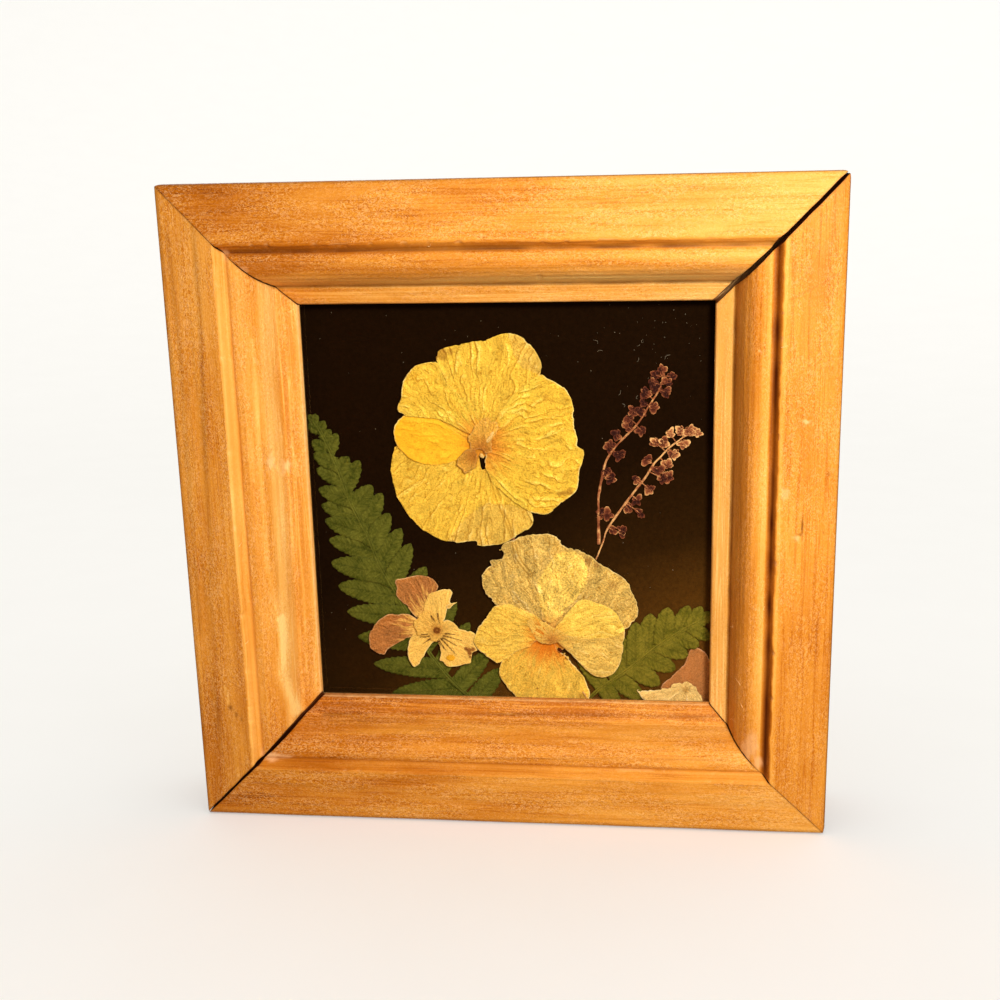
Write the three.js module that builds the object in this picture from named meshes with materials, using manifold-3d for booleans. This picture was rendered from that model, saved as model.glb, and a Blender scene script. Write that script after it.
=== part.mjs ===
// A small square picture frame with pressed flowers behind glass.
// Four mitred pine rails hold a glass pane, the specimens, a dark mount card and a backing board,
// and eight steel points driven into the rebate hold the stack in.
// Millimetres. +Z is up, the front faces -Y, and the origin is under the middle of the frame.
import * as THREE from 'three';
import { mergeVertices } from 'three/addons/utils/BufferGeometryUtils.js';
import Module from 'manifold-3d';

const wasm = await Module();
wasm.setup();

// Driving dimensions
const frameSide = 127;
const frameDepth = 21.4;
const cornerRadius = 1.3;
const sightWidth = 22.8; // rail width, from the outer edge to the sight edge
const rebateWall = 17.6; // from the outer edge to the wall that the glass stands in
const glassSeat = 7.8; // height above the back at which the front of the glass sits
const paneClearance = 0.4;
const glassThickness = 2;
const specimenSpace = 1.5;
const cardThickness = 0.8;
const boardThickness = 2.4;
const contactGap = 0.05;
const petalThickness = 0.2;
const pedicelThickness = 0.15;
const layerPitch = 0.28; // pressed layers lie on each other in steps of this height
const firstLayer = 0.06;
const pointLength = 13;
const pointWidth = 6;
const pointThickness = 0.4;
const pointSpread = 22; // distance of each steel point from the middle of its rail
const pointBite = 6.5; // how far a steel point is driven into the rail
const kerfClearance = 0.1;

// How far each rail stops short of the true mitre, at the outer corner and at the sight corner.
// Two joints are tight, and the other two have opened as the wood shrank.
const tightMitre = { outer: 0.04, inner: 0.05 };
const openMitreTop = { outer: 0.34, inner: 0.62 };
const openMitreBottom = { outer: 0.26, inner: 0.44 };

const half = frameSide / 2;
const backY = frameDepth / 2;
const paneSide = frameSide - 2 * (rebateWall + paneClearance);
const cardFront = glassSeat - glassThickness - specimenSpace;
const boardBack = cardFront - cardThickness - contactGap - boardThickness;
const pointHeight = boardBack - contactGap - pointThickness / 2 - kerfClearance;

// The moulding's section, as [distance in from the outer edge, height above the back]
const moulding = [
  [0, 0.4], [0, 19.1], [0.25, 19.75], [0.9, 20.1], [5.5, 20.6], [10.7, 21.3], [11.1, 21.4], [11.5, 21.2],
  [12.3, 19.8], [12.6, 19.65], [12.9, 19.8], [13.4, 20.05], [14.6, 20], [15.8, 19.45], [16.8, 18.45],
  [17.6, 17.1], [18.2, 15.5], [18.7, 13.6], [19.1, 11.6], [19.35, 11.05], [19.7, 11.1], [22.2, 9.4],
  [22.65, 9.05], [sightWidth, 8.7], [sightWidth, glassSeat], [rebateWall, glassSeat], [rebateWall, 0],
  [0.4, 0],
];

const wood = { color: 0xdd8f3c, roughness: 0.62, metalness: 0 };
const steel = { color: 0x9a9a98, roughness: 0.4, metalness: 1 };
const yellowPetal = { color: 0xf0c14a, roughness: 0.75, metalness: 0 };
const palePetal = { color: 0xe3c776, roughness: 0.75, metalness: 0 };
const pinkPetal = { color: 0xb4713f, roughness: 0.75, metalness: 0 };
const frond = { color: 0x566020, roughness: 0.8, metalness: 0 };
const seedStem = { color: 0x8a4b32, roughness: 0.8, metalness: 0 };

function toSolid(geometry) {
  const plain = geometry.clone();
  plain.deleteAttribute('normal');
  plain.deleteAttribute('uv');
  const merged = mergeVertices(plain, 1e-5);
  return new wasm.Manifold(new wasm.Mesh({
    numProp: 3,
    vertProperties: new Float32Array(merged.attributes.position.array),
    triVerts: new Uint32Array(merged.index.array),
  }));
}

function toGeometry(solid) {
  const mesh = solid.getMesh();
  const geometry = new THREE.BufferGeometry();
  geometry.setAttribute('position', new THREE.BufferAttribute(new Float32Array(mesh.vertProperties), 3));
  geometry.setIndex(new THREE.BufferAttribute(new Uint32Array(mesh.triVerts), 1));
  geometry.computeVertexNormals();
  return geometry;
}

function joinAll(geometries) {
  return toGeometry(geometries.map(toSolid).reduce((whole, piece) => whole.add(piece)));
}

function namedMesh(name, geometry, finish) {
  const mesh = new THREE.Mesh(geometry, new THREE.MeshStandardMaterial(finish));
  mesh.name = name;
  return mesh;
}

// ---- The frame -------------------------------------------------------------------------------

const setBack = (mitre, inward) => mitre.outer + (mitre.inner - mitre.outer) * inward / sightWidth;

// A square block with rounded corners, which rounds the outer ends of the rails.
function roundedBlock() {
  const corner = half - cornerRadius;
  const outline = new THREE.Shape();
  outline.absarc(corner, corner, cornerRadius, 0, Math.PI / 2);
  outline.absarc(-corner, corner, cornerRadius, Math.PI / 2, Math.PI);
  outline.absarc(-corner, -corner, cornerRadius, Math.PI, 1.5 * Math.PI);
  outline.absarc(corner, -corner, cornerRadius, 1.5 * Math.PI, 2 * Math.PI);
  const spare = 1; // how far the block stands past the rails, in front and behind
  const depth = frameDepth + 2 * spare;
  const block = new THREE.ExtrudeGeometry(outline, { depth, bevelEnabled: false, curveSegments: 4 });
  block.rotateX(Math.PI / 2);
  block.translate(0, backY + spare, 0);
  return block;
}

// The kerf that one steel point has cut in the bottom rail, centred at the given place along it.
function kerf(along) {
  const slot = new THREE.BoxGeometry(
    pointWidth + 2 * kerfClearance,
    pointThickness + 2 * kerfClearance,
    pointBite + kerfClearance + 1,
  );
  slot.translate(along, backY - pointHeight, -half + rebateWall - (pointBite + kerfClearance - 1) / 2);
  return slot;
}

// A rail as it lies at the bottom of the frame, around the frame's centre.
function railGeometry(leftMitre, rightMitre) {
  const section = new THREE.Shape(moulding.map(([inward, height]) => new THREE.Vector2(inward, height)));
  const rail = new THREE.ExtrudeGeometry(section, { depth: 1, bevelEnabled: false });
  const place = rail.attributes.position;
  for (let i = 0; i < place.count; i += 1) {
    const inward = place.getX(i);
    const height = place.getY(i);
    const atRight = place.getZ(i) > 0.5;
    const mitre = atRight ? rightMitre : leftMitre;
    const reach = half - inward - setBack(mitre, inward);
    place.setXYZ(i, atRight ? reach : -reach, backY - height, -half + inward);
  }
  const shaped = toSolid(rail).intersect(toSolid(roundedBlock()));
  return toGeometry(shaped.subtract(toSolid(kerf(-pointSpread))).subtract(toSolid(kerf(pointSpread))));
}

// Each rail is the bottom one, turned about the middle of the frame.
function turned(mesh, quarterTurns) {
  mesh.rotation.y = quarterTurns * Math.PI / 2;
  mesh.position.z = half;
  return mesh;
}

function rails() {
  const group = new THREE.Group();
  group.add(turned(namedMesh('rail_bottom', railGeometry(openMitreBottom, tightMitre), wood), 0));
  group.add(turned(namedMesh('rail_left', railGeometry(tightMitre, openMitreBottom), wood), 1));
  group.add(turned(namedMesh('rail_top', railGeometry(openMitreTop, tightMitre), wood), 2));
  group.add(turned(namedMesh('rail_right', railGeometry(tightMitre, openMitreTop), wood), 3));
  return group;
}

// A square sheet in the rebate, with its front at the given height above the frame's back.
function sheet(name, front, thickness, finish) {
  const mesh = namedMesh(name, new THREE.BoxGeometry(paneSide, thickness, paneSide), finish);
  mesh.position.set(0, backY - front + thickness / 2, half);
  return mesh;
}

function steelPoints() {
  const group = new THREE.Group();
  for (let side = 0; side < 4; side += 1) {
    for (const along of [-pointSpread, pointSpread]) {
      const tab = new THREE.BoxGeometry(pointWidth, pointThickness, pointLength);
      tab.translate(along, backY - pointHeight, -half + rebateWall - pointBite + pointLength / 2);
      const name = `glazier_point_${group.children.length + 1}`;
      group.add(turned(namedMesh(name, tab, steel), side));
    }
  }
  return group;
}

// ---- The specimens, drawn flat around the middle of the opening: across, then up ---------------

const toVectors = (points) => points.map(([across, up]) => new THREE.Vector2(across, up));

function flatSolid(outline, thickness = petalThickness) {
  return new THREE.ExtrudeGeometry(new THREE.Shape(outline), { depth: thickness, bevelEnabled: false });
}

function onLayer(mesh, layer) {
  mesh.position.z = firstLayer + layer * layerPitch;
  return mesh;
}

// A petal: a smooth closed outline through its points, which are measured from the flower's throat.
function petal(name, throat, layer, finish, points, smoothness = 2) {
  const around = points.map(([across, up]) => new THREE.Vector3(throat[0] + across, throat[1] + up, 0));
  const curve = new THREE.CatmullRomCurve3(around, true, 'centripetal');
  const outline = curve.getPoints(points.length * smoothness).slice(0, -1);
  return onLayer(namedMesh(name, flatSolid(outline), finish), layer);
}

// A flat stalk along a smooth line, as wide as given at its two ends.
function stalk(points, startWidth, endWidth, steps = 14, thickness = petalThickness) {
  const line = new THREE.SplineCurve(toVectors(points));
  const left = [];
  const right = [];
  for (let i = 0; i <= steps; i += 1) {
    const t = i / steps;
    const at = line.getPoint(t);
    const side = line.getTangent(t).rotateAround(new THREE.Vector2(), Math.PI / 2);
    const reach = THREE.MathUtils.lerp(startWidth, endWidth, t) / 2;
    left.push(at.clone().addScaledVector(side, reach));
    right.unshift(at.clone().addScaledVector(side, -reach));
  }
  return flatSolid([...left, ...right], thickness);
}

const largeThroat = [-5.5, 12.4];

function largePansy() {
  const name = (petalName) => `large_pansy_${petalName}`;
  const group = new THREE.Group();
  group.add(petal(name('petal_upper_right'), largeThroat, 1, yellowPetal, [
    [0.2, 1.6], [-5.2, 9], [-8, 14], [-8.6, 16.6], [-8.5, 18.6], [-6, 19.6], [-2.6, 20.4], [1, 20.8],
    [3.2, 21.6], [5.8, 22.2], [7.8, 21.8], [9.6, 20.6], [11, 19], [12.2, 16.6], [12.3, 15], [10.4, 10.4],
    [4.8, 3.8],
  ]));
  group.add(petal(name('petal_upper_left'), largeThroat, 3, yellowPetal, [
    [-0.8, 1.6], [-4.4, 3.2], [-7.4, 4.6], [-11.4, 5.6], [-14.8, 5.8], [-16.8, 7], [-16, 10],
    [-15.4, 12.8], [-13.2, 15.6], [-11.2, 16.4], [-8.6, 16.6], [-6.8, 13], [-4.6, 10.6], [-1.8, 8],
    [-0.2, 5.2], [0.4, 2.8],
  ]));
  group.add(petal(name('petal_left'), largeThroat, 2, yellowPetal, [
    [-1, 0], [-3.2, 1.2], [-6.4, 3.6], [-10.4, 6], [-14.2, 6.6], [-16.6, 5.2], [-17.8, 3.6], [-17.6, 0.4],
    [-16.2, -1.6], [-14, -3.4], [-10.2, -4.2], [-7, -3.8], [-4.6, -2.8], [-2, -1.2],
  ]));
  group.add(petal(name('petal_right'), largeThroat, 2, yellowPetal, [
    [1.2, 0.8], [2.2, 3.8], [4.8, 8], [8, 11.4], [12.2, 14], [13.6, 13.2], [16.2, 12], [17.6, 10.4],
    [18.6, 7.6], [18.8, 4], [19.4, 1.2], [19.3, -0.2], [20.6, -1.4], [19.6, -5.8], [19.2, -9.2],
    [16.4, -11.6], [13.2, -14.2], [9.8, -13.8], [6.2, -11.6], [3, -9], [0.8, -5.4], [0.6, -2.2],
  ]));
  group.add(petal(name('petal_lower'), largeThroat, 1, yellowPetal, [
    [-0.6, -2.4], [-3.4, -1.6], [-7.6, -1.2], [-12.8, -0.8], [-17.8, -0.4], [-18.6, -2.4], [-19, -4.8],
    [-18.6, -8], [-17.4, -12], [-14, -16.8], [-11.2, -18.8], [-8, -20.2], [-5, -20.4], [-1.8, -20.2],
    [-1.4, -21], [3.6, -20.6], [6.6, -19], [10, -16.6], [9.8, -13.8], [7.6, -9.4], [4.4, -6.2], [1.6, -4.6],
    [-0.2, -5],
  ]));
  const line = [[-4.6, 8.6], [-2.8, 2.4], [0.2, -6.2], [1.4, -11], [4, -14.6]];
  group.add(onLayer(namedMesh(name('stem'), stalk(line, 0.9, 0.6), palePetal), 0));
  return group;
}

const paleThroat = [7.7, -28.1];

function palePansy() {
  const name = (petalName) => `pale_pansy_${petalName}`;
  const group = new THREE.Group();
  group.add(petal(name('petal_upper_left'), paleThroat, 3, palePetal, [
    [0, 3], [-2.4, 4.2], [-6.2, 5], [-10.8, 7], [-13, 9], [-13.6, 10.4], [-13.8, 12.8], [-12.8, 14.6],
    [-11.8, 15.4], [-12, 16.4], [-10.2, 16.8], [-9.6, 18], [-10.4, 18.6], [-7.2, 21], [-5.2, 21.8],
    [-1.2, 22], [1, 21.8], [3.4, 20], [4.6, 19.2], [6.4, 17.8], [7.6, 16.4], [8, 14.2], [8, 12],
    [6.6, 9.6], [3.8, 6.4], [1.4, 3.6],
  ]));
  group.add(petal(name('petal_upper_right'), paleThroat, 2, palePetal, [
    [0.4, 1.4], [-0.8, 4], [-2.2, 8.6], [-2.4, 11.2], [-1.6, 13.2], [-0.4, 15.2], [1.8, 18], [4.6, 18.6],
    [6.4, 18.8], [8.4, 17.6], [9.8, 16.6], [11.6, 15.2], [14.2, 13.8], [16, 12.2], [17.2, 10], [18.2, 7.4],
    [18.2, 5.4], [17.4, 3.6], [15.6, 1.8], [13.2, 0.4], [10.4, 0.2], [6.4, 0.2], [3.8, 0.6],
  ]));
  group.add(petal(name('petal_right'), paleThroat, 4, palePetal, [
    [0.8, 1.6], [2.6, 4], [4.6, 6.6], [6.8, 8.4], [10.4, 7.6], [13.2, 6.2], [14.8, 4.2], [15.6, 2],
    [15.4, -0.6], [14.8, -4.8], [13.2, -7.6], [11.2, -8.4], [9.2, -8], [6.4, -5.6], [4.2, -3.2],
    [2.2, -1.4], [1.2, 0],
  ]));
  group.add(petal(name('petal_left'), paleThroat, 4, palePetal, [
    [-0.4, 1.6], [-1.6, 4], [-5, 5.8], [-8, 7.2], [-10.8, 6.8], [-12, 6], [-13, 4.6], [-14.4, 2.8],
    [-16, -0.8], [-15.6, -2], [-14.2, -3.8], [-12.4, -5], [-10.8, -5.8], [-7, -3.2], [-4, -1.8],
    [-2, -0.6], [-0.6, 0.4],
  ]));
  group.add(petal(name('petal_lower'), paleThroat, 2, palePetal, [
    [-0.4, 0.2], [-4, -1.2], [-7, -3], [-10, -5], [-10.8, -8.4], [-10, -10.2], [-8.8, -11.8], [-7.2, -13.6],
    [-5, -15.2], [-1.4, -16.2], [3, -16.2], [6.6, -15], [8.2, -13.4], [8, -10.8], [6.8, -8.2], [4.6, -5.6],
    [3, -3.8], [1.4, -2.6], [1, -0.6],
  ]));
  return group;
}

const violaThroat = [-15.9, -26.8];

function smallViola() {
  const name = (petalName) => `viola_${petalName}`;
  const group = new THREE.Group();
  group.add(petal(name('petal_upper'), violaThroat, 1, pinkPetal, [
    [-1.4, 1], [-4.6, 2.4], [-6.4, 4.8], [-8.6, 7.2], [-8.4, 8.8], [-8.8, 10.4], [-5.8, 11.2], [-3.2, 11.6],
    [-1, 11], [0.2, 9.8], [0.4, 8.8], [-1.2, 6.2], [-1, 3.6], [-0.4, 1.4],
  ]));
  group.add(petal(name('petal_left'), violaThroat, 2, pinkPetal, [
    [-1.4, 0.6], [-3.8, 1.6], [-6, 3.2], [-8.6, 3.2], [-10.8, 3], [-12.8, 1.4], [-14.6, -1.2],
    [-14.8, -3.8], [-14.4, -4.8], [-11.8, -6], [-11, -4.8], [-8.4, -3], [-6, -1.8], [-3.2, -0.6],
  ]));
  group.add(petal(name('petal_upper_right'), violaThroat, 2, yellowPetal, [
    [-0.4, 1], [-1.8, 1.8], [-2.6, 3.2], [-2.8, 5], [-2.2, 6.6], [-1.6, 7.6], [-0.2, 8.2], [2.6, 8.8],
    [3.4, 8], [2.8, 6.6], [3, 5.8], [4.4, 6], [3.2, 5.2], [2.2, 4.6], [1.6, 2.4], [0.6, 1],
  ]));
  group.add(petal(name('petal_lower_left'), violaThroat, 3, yellowPetal, [
    [-0.6, -1.2], [-2.4, -0.6], [-4.2, -0.4], [-5.8, -1.8], [-6.4, -3.6], [-6.6, -5.8], [-5.4, -8.4],
    [-4, -7.4], [-2.8, -5.2], [-1.4, -3.2], [-0.6, -2.2],
  ]));
  group.add(petal(name('petal_lower_right'), violaThroat, 3, yellowPetal, [
    [0.6, 0.8], [2, 2.2], [3.4, 1.6], [4.6, 0.2], [6.8, -0.2], [7.8, -0.8], [7.6, -2.8], [8.4, -4.4],
    [7.2, -5], [6.8, -7.2], [5.4, -7.6], [2, -8.2], [1, -7.4], [0.2, -6.8], [0.6, -5], [0, -3],
    [-0.2, -1.2],
  ]));
  return group;
}

// The flower in the lower right corner, of which the rails hide a part.
function cornerFlower() {
  const middle = [36, -39];
  const group = new THREE.Group();
  group.add(petal('corner_flower_petal_back', middle, 0, pinkPetal, [
    [-5.2, 0], [-3, 2.6], [-0.4, 5.4], [0.8, 8.4], [2.4, 9], [4, 7.8], [5.2, 5.2], [6.2, 0.8], [6.2, -3.8],
    [3, -5.2], [-2.8, -4],
  ]));
  group.add(petal('corner_flower_petal_front', middle, 2, palePetal, [
    [-10.4, -0.2], [-9, -0.6], [-6.2, 0], [-4.2, 0.4], [-2.2, 1.2], [-0.2, 1.6], [1.6, 1], [2.6, -0.2],
    [3.4, -2], [3, -3.8], [-0.2, -4.8], [-3.2, -4.6], [-7.4, -3.6], [-9, -2],
  ]));
  return group;
}

// A fern leaflet from the midrib to its tip, with a saw-toothed edge. Blunt ones stay wide for longer.
function leaflet([baseAcross, baseUp], [tipAcross, tipUp], width, blunt, teeth = 3) {
  const along = new THREE.Vector2(tipAcross - baseAcross, tipUp - baseUp);
  const side = along.clone().normalize().rotateAround(new THREE.Vector2(), Math.PI / 2);
  const edge = (t, direction, depth) => new THREE.Vector2(baseAcross, baseUp)
    .addScaledVector(along, t)
    .addScaledVector(side, direction * depth * (width / 2) * Math.pow(1 - Math.pow(t, blunt), 0.65));
  const outline = [edge(0, 1, 0.85)];
  for (let i = 1; i <= teeth; i += 1) {
    const t = i / (teeth + 0.5);
    outline.push(edge(t, 1, 1.04), edge(t + 0.05, 1, 0.95));
  }
  outline.push(edge(1, 1, 0));
  for (let i = teeth; i >= 1; i -= 1) {
    const t = i / (teeth + 0.5);
    outline.push(edge(t + 0.05, -1, 0.95), edge(t, -1, 1.04));
  }
  outline.push(edge(0, -1, 0.85));
  return flatSolid(outline);
}

function fern(name, layer, midrib, leaflets, blunt) {
  const pieces = leaflets.map(([base, tip, width]) => leaflet(base, tip, width, blunt));
  return onLayer(namedMesh(name, joinAll([stalk(midrib, 0.5, 1.1), ...pieces]), frond), layer);
}

// Leaflets are [place on the midrib, tip, width]
function leftFern() {
  const midrib = [
    [-40.6, 18], [-38.4, 14.2], [-35.8, 7.8], [-33.4, 0.4], [-30.2, -6.6], [-27.8, -13.2], [-24.8, -18.8],
    [-22.4, -23.6], [-17.8, -32.6], [-12.8, -39], [-9.6, -42], [-6.8, -45],
  ];
  const leftLeaflets = [
    [[-37.8, 11], [-40.8, 13], 3.1], [[-36.4, 8.2], [-40.6, 10.4], 3.4], [[-35, 5], [-40.2, 7.2], 3.6],
    [[-33.4, 0.8], [-40, 3], 3.9], [[-32.2, -2.8], [-39.6, -0.4], 4], [[-30.6, -6.4], [-39, -3.6], 4.4],
    [[-29.2, -10.2], [-38.4, -7.8], 4.5], [[-27.6, -14.8], [-38.2, -12.8], 5.2],
    [[-25.4, -19.8], [-37, -17.8], 5.2], [[-22.6, -24.4], [-35.4, -23.4], 4.9],
    [[-19.6, -29.8], [-33.4, -29], 4.7], [[-15.4, -35.8], [-30.2, -35], 4.7],
    [[-12, -40], [-26.6, -41.8], 4.9],
  ];
  const rightLeaflets = [
    [[-39.4, 14.6], [-37.8, 16.8], 2.1], [[-38.4, 13.2], [-36.6, 15.4], 2.4],
    [[-37.2, 10.8], [-35.4, 14.6], 2.7], [[-35.8, 6.4], [-33.2, 9.8], 3.4], [[-34.6, 3], [-31, 9], 3.8],
    [[-32.8, -1.2], [-28.6, 3.8], 4.3], [[-31.2, -5.2], [-26.6, 2.2], 4.4],
    [[-29.6, -9], [-25.2, -2], 4.4], [[-27.8, -13.4], [-22.9, -5.2], 4.4],
    [[-25.8, -17.6], [-21, -8.4], 4.5], [[-23.6, -21.8], [-18, -13.4], 4.4],
    [[-19, -30.6], [-11.8, -21], 4.3], [[-15.8, -35.6], [-9.2, -25.4], 4.3],
    [[-12.2, -39.6], [-5.2, -31.6], 4.4], [[-8.8, -42.8], [-2.6, -35.4], 4.4],
  ];
  return fern('fern_frond_left', 0, midrib, [...leftLeaflets, ...rightLeaflets], 3.2);
}

function rightFern() {
  const midrib = [
    [38.8, -24], [35.2, -26.2], [32.2, -28.2], [29.2, -30.4], [25.8, -33.4], [21.8, -36.6], [17.8, -39.6],
    [15.4, -42],
  ];
  const upperLeaflets = [
    [[18.8, -39], [13.6, -31.8], 3.7], [[21.8, -36.6], [17.8, -29.4], 3.9],
    [[23.8, -35], [21.6, -26.8], 3.9], [[25.6, -33.6], [25.6, -24.6], 4.1],
    [[28, -31.4], [28.6, -22.7], 4.3], [[31, -29.2], [32.2, -21.3], 4.2],
    [[33.8, -27.4], [36.4, -20.9], 3.5], [[36.6, -25.6], [39, -21], 2.9],
  ];
  const lowerLeaflets = [
    [[38, -24.6], [41.2, -22.4], 2.7], [[36.8, -25.4], [41, -28], 3], [[33.4, -27.4], [38.6, -29.6], 3.4],
    [[30.2, -29.6], [36.4, -31.7], 3.7], [[27.2, -32], [33.8, -34.8], 3.9],
    [[24.4, -34.4], [30.6, -38.2], 4.1], [[21.4, -36.8], [26.8, -41.4], 4.1],
    [[18.8, -38.8], [21.8, -43.4], 3.7],
  ];
  return fern('fern_frond_right', 1, midrib, [...upperLeaflets, ...lowerLeaflets], 4.5);
}

// A tiny five-lobed floret, with a pedicel to the nearest place on the stem.
function floret([across, up], stemCurve, radius = 0.95) {
  const lobes = 5;
  const outline = [];
  for (let i = 0; i < 2 * lobes; i += 1) {
    const angle = i * Math.PI / lobes + across;
    const reach = radius * (i % 2 ? 0.66 : 1);
    outline.push(new THREE.Vector2(across + reach * Math.cos(angle), up + reach * Math.sin(angle)));
  }
  const here = new THREE.Vector2(across, up);
  const nearest = stemCurve.getPoints(60).reduce((best, at) => (
    at.distanceTo(here) < best.distanceTo(here) ? at : best));
  const pedicel = here.distanceTo(nearest) > 0.5 * radius
    ? [stalk([[across, up], [nearest.x, nearest.y]], 0.3, 0.3, 1, pedicelThickness)]
    : [];
  return [flatSolid(outline), ...pedicel];
}

function sprig(name, layer, stem, florets) {
  const stemCurve = new THREE.SplineCurve(toVectors(stem));
  const pieces = florets.flatMap((place) => floret(place, stemCurve));
  return onLayer(namedMesh(name, joinAll([stalk(stem, 0.75, 0.4), ...pieces]), seedStem), layer);
}

function tallSprig() {
  const stem = [
    [18, -8.2], [18, -2.8], [18, 1.4], [18.8, 6], [19.6, 9], [21, 11.4], [23, 13.6], [25.2, 15.8],
    [27, 18.2], [28.6, 21], [30, 23.2], [30.8, 26],
  ];
  return sprig('sprig_tall', 0, stem, [
    [30.6, 27.2], [29.4, 26.2], [32.4, 26], [28.8, 24.8], [31.6, 24.8], [29.6, 23.6], [31.4, 22.8],
    [27.4, 22.6], [27, 20.8], [29, 20], [24.8, 19.2], [24.2, 17.6], [26.6, 19], [24, 16], [26.6, 15.2],
    [21.8, 14.4], [20.2, 12], [22.4, 10.2], [19.6, 7], [20.6, 5.6], [18.4, -2], [19.8, -1.8],
  ]);
}

function leaningSprig() {
  const stem = [
    [17.4, -11.4], [18.8, -7.8], [19.8, -5], [22.4, -1], [25.6, 3.4], [27.6, 6], [29.2, 8.6], [31.2, 10.8],
    [32.6, 12.2], [35, 14], [37.2, 14.8],
  ];
  return sprig('sprig_leaning', 1, stem, [
    [37.4, 14.8], [36, 15.2], [34.2, 15.2], [35, 12.6], [32.2, 14.6], [29.4, 12.8], [31, 12.8], [33, 10.6],
    [27.8, 9.2], [31.8, 8.4], [30.2, 7.2], [30.8, 5.6], [32, 6], [25.6, 5.2], [28.2, 3.4], [25.8, 1.2],
    [26.4, -1.6], [24, -0.6], [22.8, -5.4], [21, -5.2],
  ]);
}

function specimens() {
  const group = new THREE.Group();
  group.add(leftFern(), rightFern(), tallSprig(), leaningSprig());
  group.add(largePansy(), palePansy(), smallViola(), cornerFlower());
  group.rotation.x = Math.PI / 2;
  group.position.set(0, backY - cardFront, half);
  return group;
}

// ---- Assembly ---------------------------------------------------------------------------------

const pressedFlowerFrame = new THREE.Group();
pressedFlowerFrame.add(rails());
pressedFlowerFrame.add(sheet('glass_pane', glassSeat - contactGap, glassThickness, {
  color: 0xdfe8e4, roughness: 0.05, metalness: 0,
}));
pressedFlowerFrame.add(specimens());
pressedFlowerFrame.add(sheet('mount_card', cardFront, cardThickness, {
  color: 0x1b120b, roughness: 0.9, metalness: 0,
}));
pressedFlowerFrame.add(sheet('backing_board', cardFront - cardThickness - contactGap, boardThickness, {
  color: 0x7a5533, roughness: 0.85, metalness: 0,
}));
pressedFlowerFrame.add(steelPoints());

export default pressedFlowerFrame;
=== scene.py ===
import math

import bpy
import numpy as np
from mathutils import Euler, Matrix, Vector, geometry


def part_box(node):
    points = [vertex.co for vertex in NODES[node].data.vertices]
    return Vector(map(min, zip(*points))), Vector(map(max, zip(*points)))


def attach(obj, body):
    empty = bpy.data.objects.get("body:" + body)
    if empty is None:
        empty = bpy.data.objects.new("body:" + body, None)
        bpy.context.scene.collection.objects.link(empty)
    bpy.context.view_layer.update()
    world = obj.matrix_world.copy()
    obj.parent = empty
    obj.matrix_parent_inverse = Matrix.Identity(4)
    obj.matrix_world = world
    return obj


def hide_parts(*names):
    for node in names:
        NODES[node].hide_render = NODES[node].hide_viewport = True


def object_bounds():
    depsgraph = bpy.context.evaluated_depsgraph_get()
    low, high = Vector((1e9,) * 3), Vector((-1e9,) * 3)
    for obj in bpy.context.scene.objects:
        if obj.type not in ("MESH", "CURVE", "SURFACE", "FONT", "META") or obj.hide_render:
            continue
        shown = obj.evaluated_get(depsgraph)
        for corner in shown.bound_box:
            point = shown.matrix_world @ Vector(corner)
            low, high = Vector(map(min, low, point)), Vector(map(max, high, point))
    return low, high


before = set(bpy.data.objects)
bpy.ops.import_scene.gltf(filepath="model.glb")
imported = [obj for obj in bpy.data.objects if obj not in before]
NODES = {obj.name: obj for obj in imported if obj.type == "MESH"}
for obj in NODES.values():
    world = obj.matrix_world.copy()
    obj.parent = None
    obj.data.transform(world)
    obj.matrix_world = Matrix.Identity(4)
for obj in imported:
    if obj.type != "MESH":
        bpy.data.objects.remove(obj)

MM = 0.001
CAD_LOW, CAD_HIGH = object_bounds()
HALF = -CAD_LOW.x / MM
BACK = CAD_HIGH.y / MM
SIGHT = 22.8
REBATE_WALL = 17.6
GLASS_SEAT = 7.8
CORNER_RADIUS = 1.3
CARD_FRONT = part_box("mount_card")[0].y / MM

# The moulding's section, as (distance in from the outer edge, height above the back)
MOULDING = [
    (0, 0.4), (0, 19.1), (0.25, 19.75), (0.9, 20.1), (5.5, 20.6), (10.7, 21.3), (11.1, 21.4), (11.5, 21.2),
    (12.3, 19.8), (12.6, 19.65), (12.9, 19.8), (13.4, 20.05), (14.6, 20), (15.8, 19.45), (16.8, 18.45),
    (17.6, 17.1), (18.2, 15.5), (18.7, 13.6), (19.1, 11.6), (19.35, 11.05), (19.7, 11.1), (22.2, 9.4),
    (22.65, 9.05), (SIGHT, 8.7), (SIGHT, GLASS_SEAT), (REBATE_WALL, GLASS_SEAT), (REBATE_WALL, 0), (0.4, 0),
]
# How far a rail stops short of its mitre, at the outer and at the sight corner
TIGHT = (0.04, 0.05)
OPEN_TOP = (0.48, 0.62)
OPEN_BOTTOM = (0.3, 0.48)


# ---- Numbers ------------------------------------------------------------------------------------

def lattice(u, v, seed, cells=64):
    """Smooth random values from -1 to 1 over a plane, one cell of the lattice per unit."""
    grid = np.random.default_rng(seed).uniform(-1, 1, (cells, cells))
    column = np.floor(u).astype(int)
    row = np.floor(v).astype(int)
    s = u - column
    t = v - row
    s = s * s * (3 - 2 * s)
    t = t * t * (3 - 2 * t)
    near = grid[column % cells, row % cells] * (1 - s) + grid[(column + 1) % cells, row % cells] * s
    far = grid[column % cells, (row + 1) % cells] * (1 - s)
    far = far + grid[(column + 1) % cells, (row + 1) % cells] * s
    return near * (1 - t) + far * t


def layered(u, v, seed, octaves=3):
    """Lattice noise with finer, weaker octaves laid over it."""
    return sum(lattice(u * 2 ** k, v * 2 ** k, seed + k) / 2 ** k for k in range(octaves)) / 1.75


def bell(distance):
    return np.exp(-np.square(distance))


def step_up(value, low, high):
    t = np.clip((value - low) / (high - low), 0, 1)
    return t * t * (3 - 2 * t)


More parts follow.
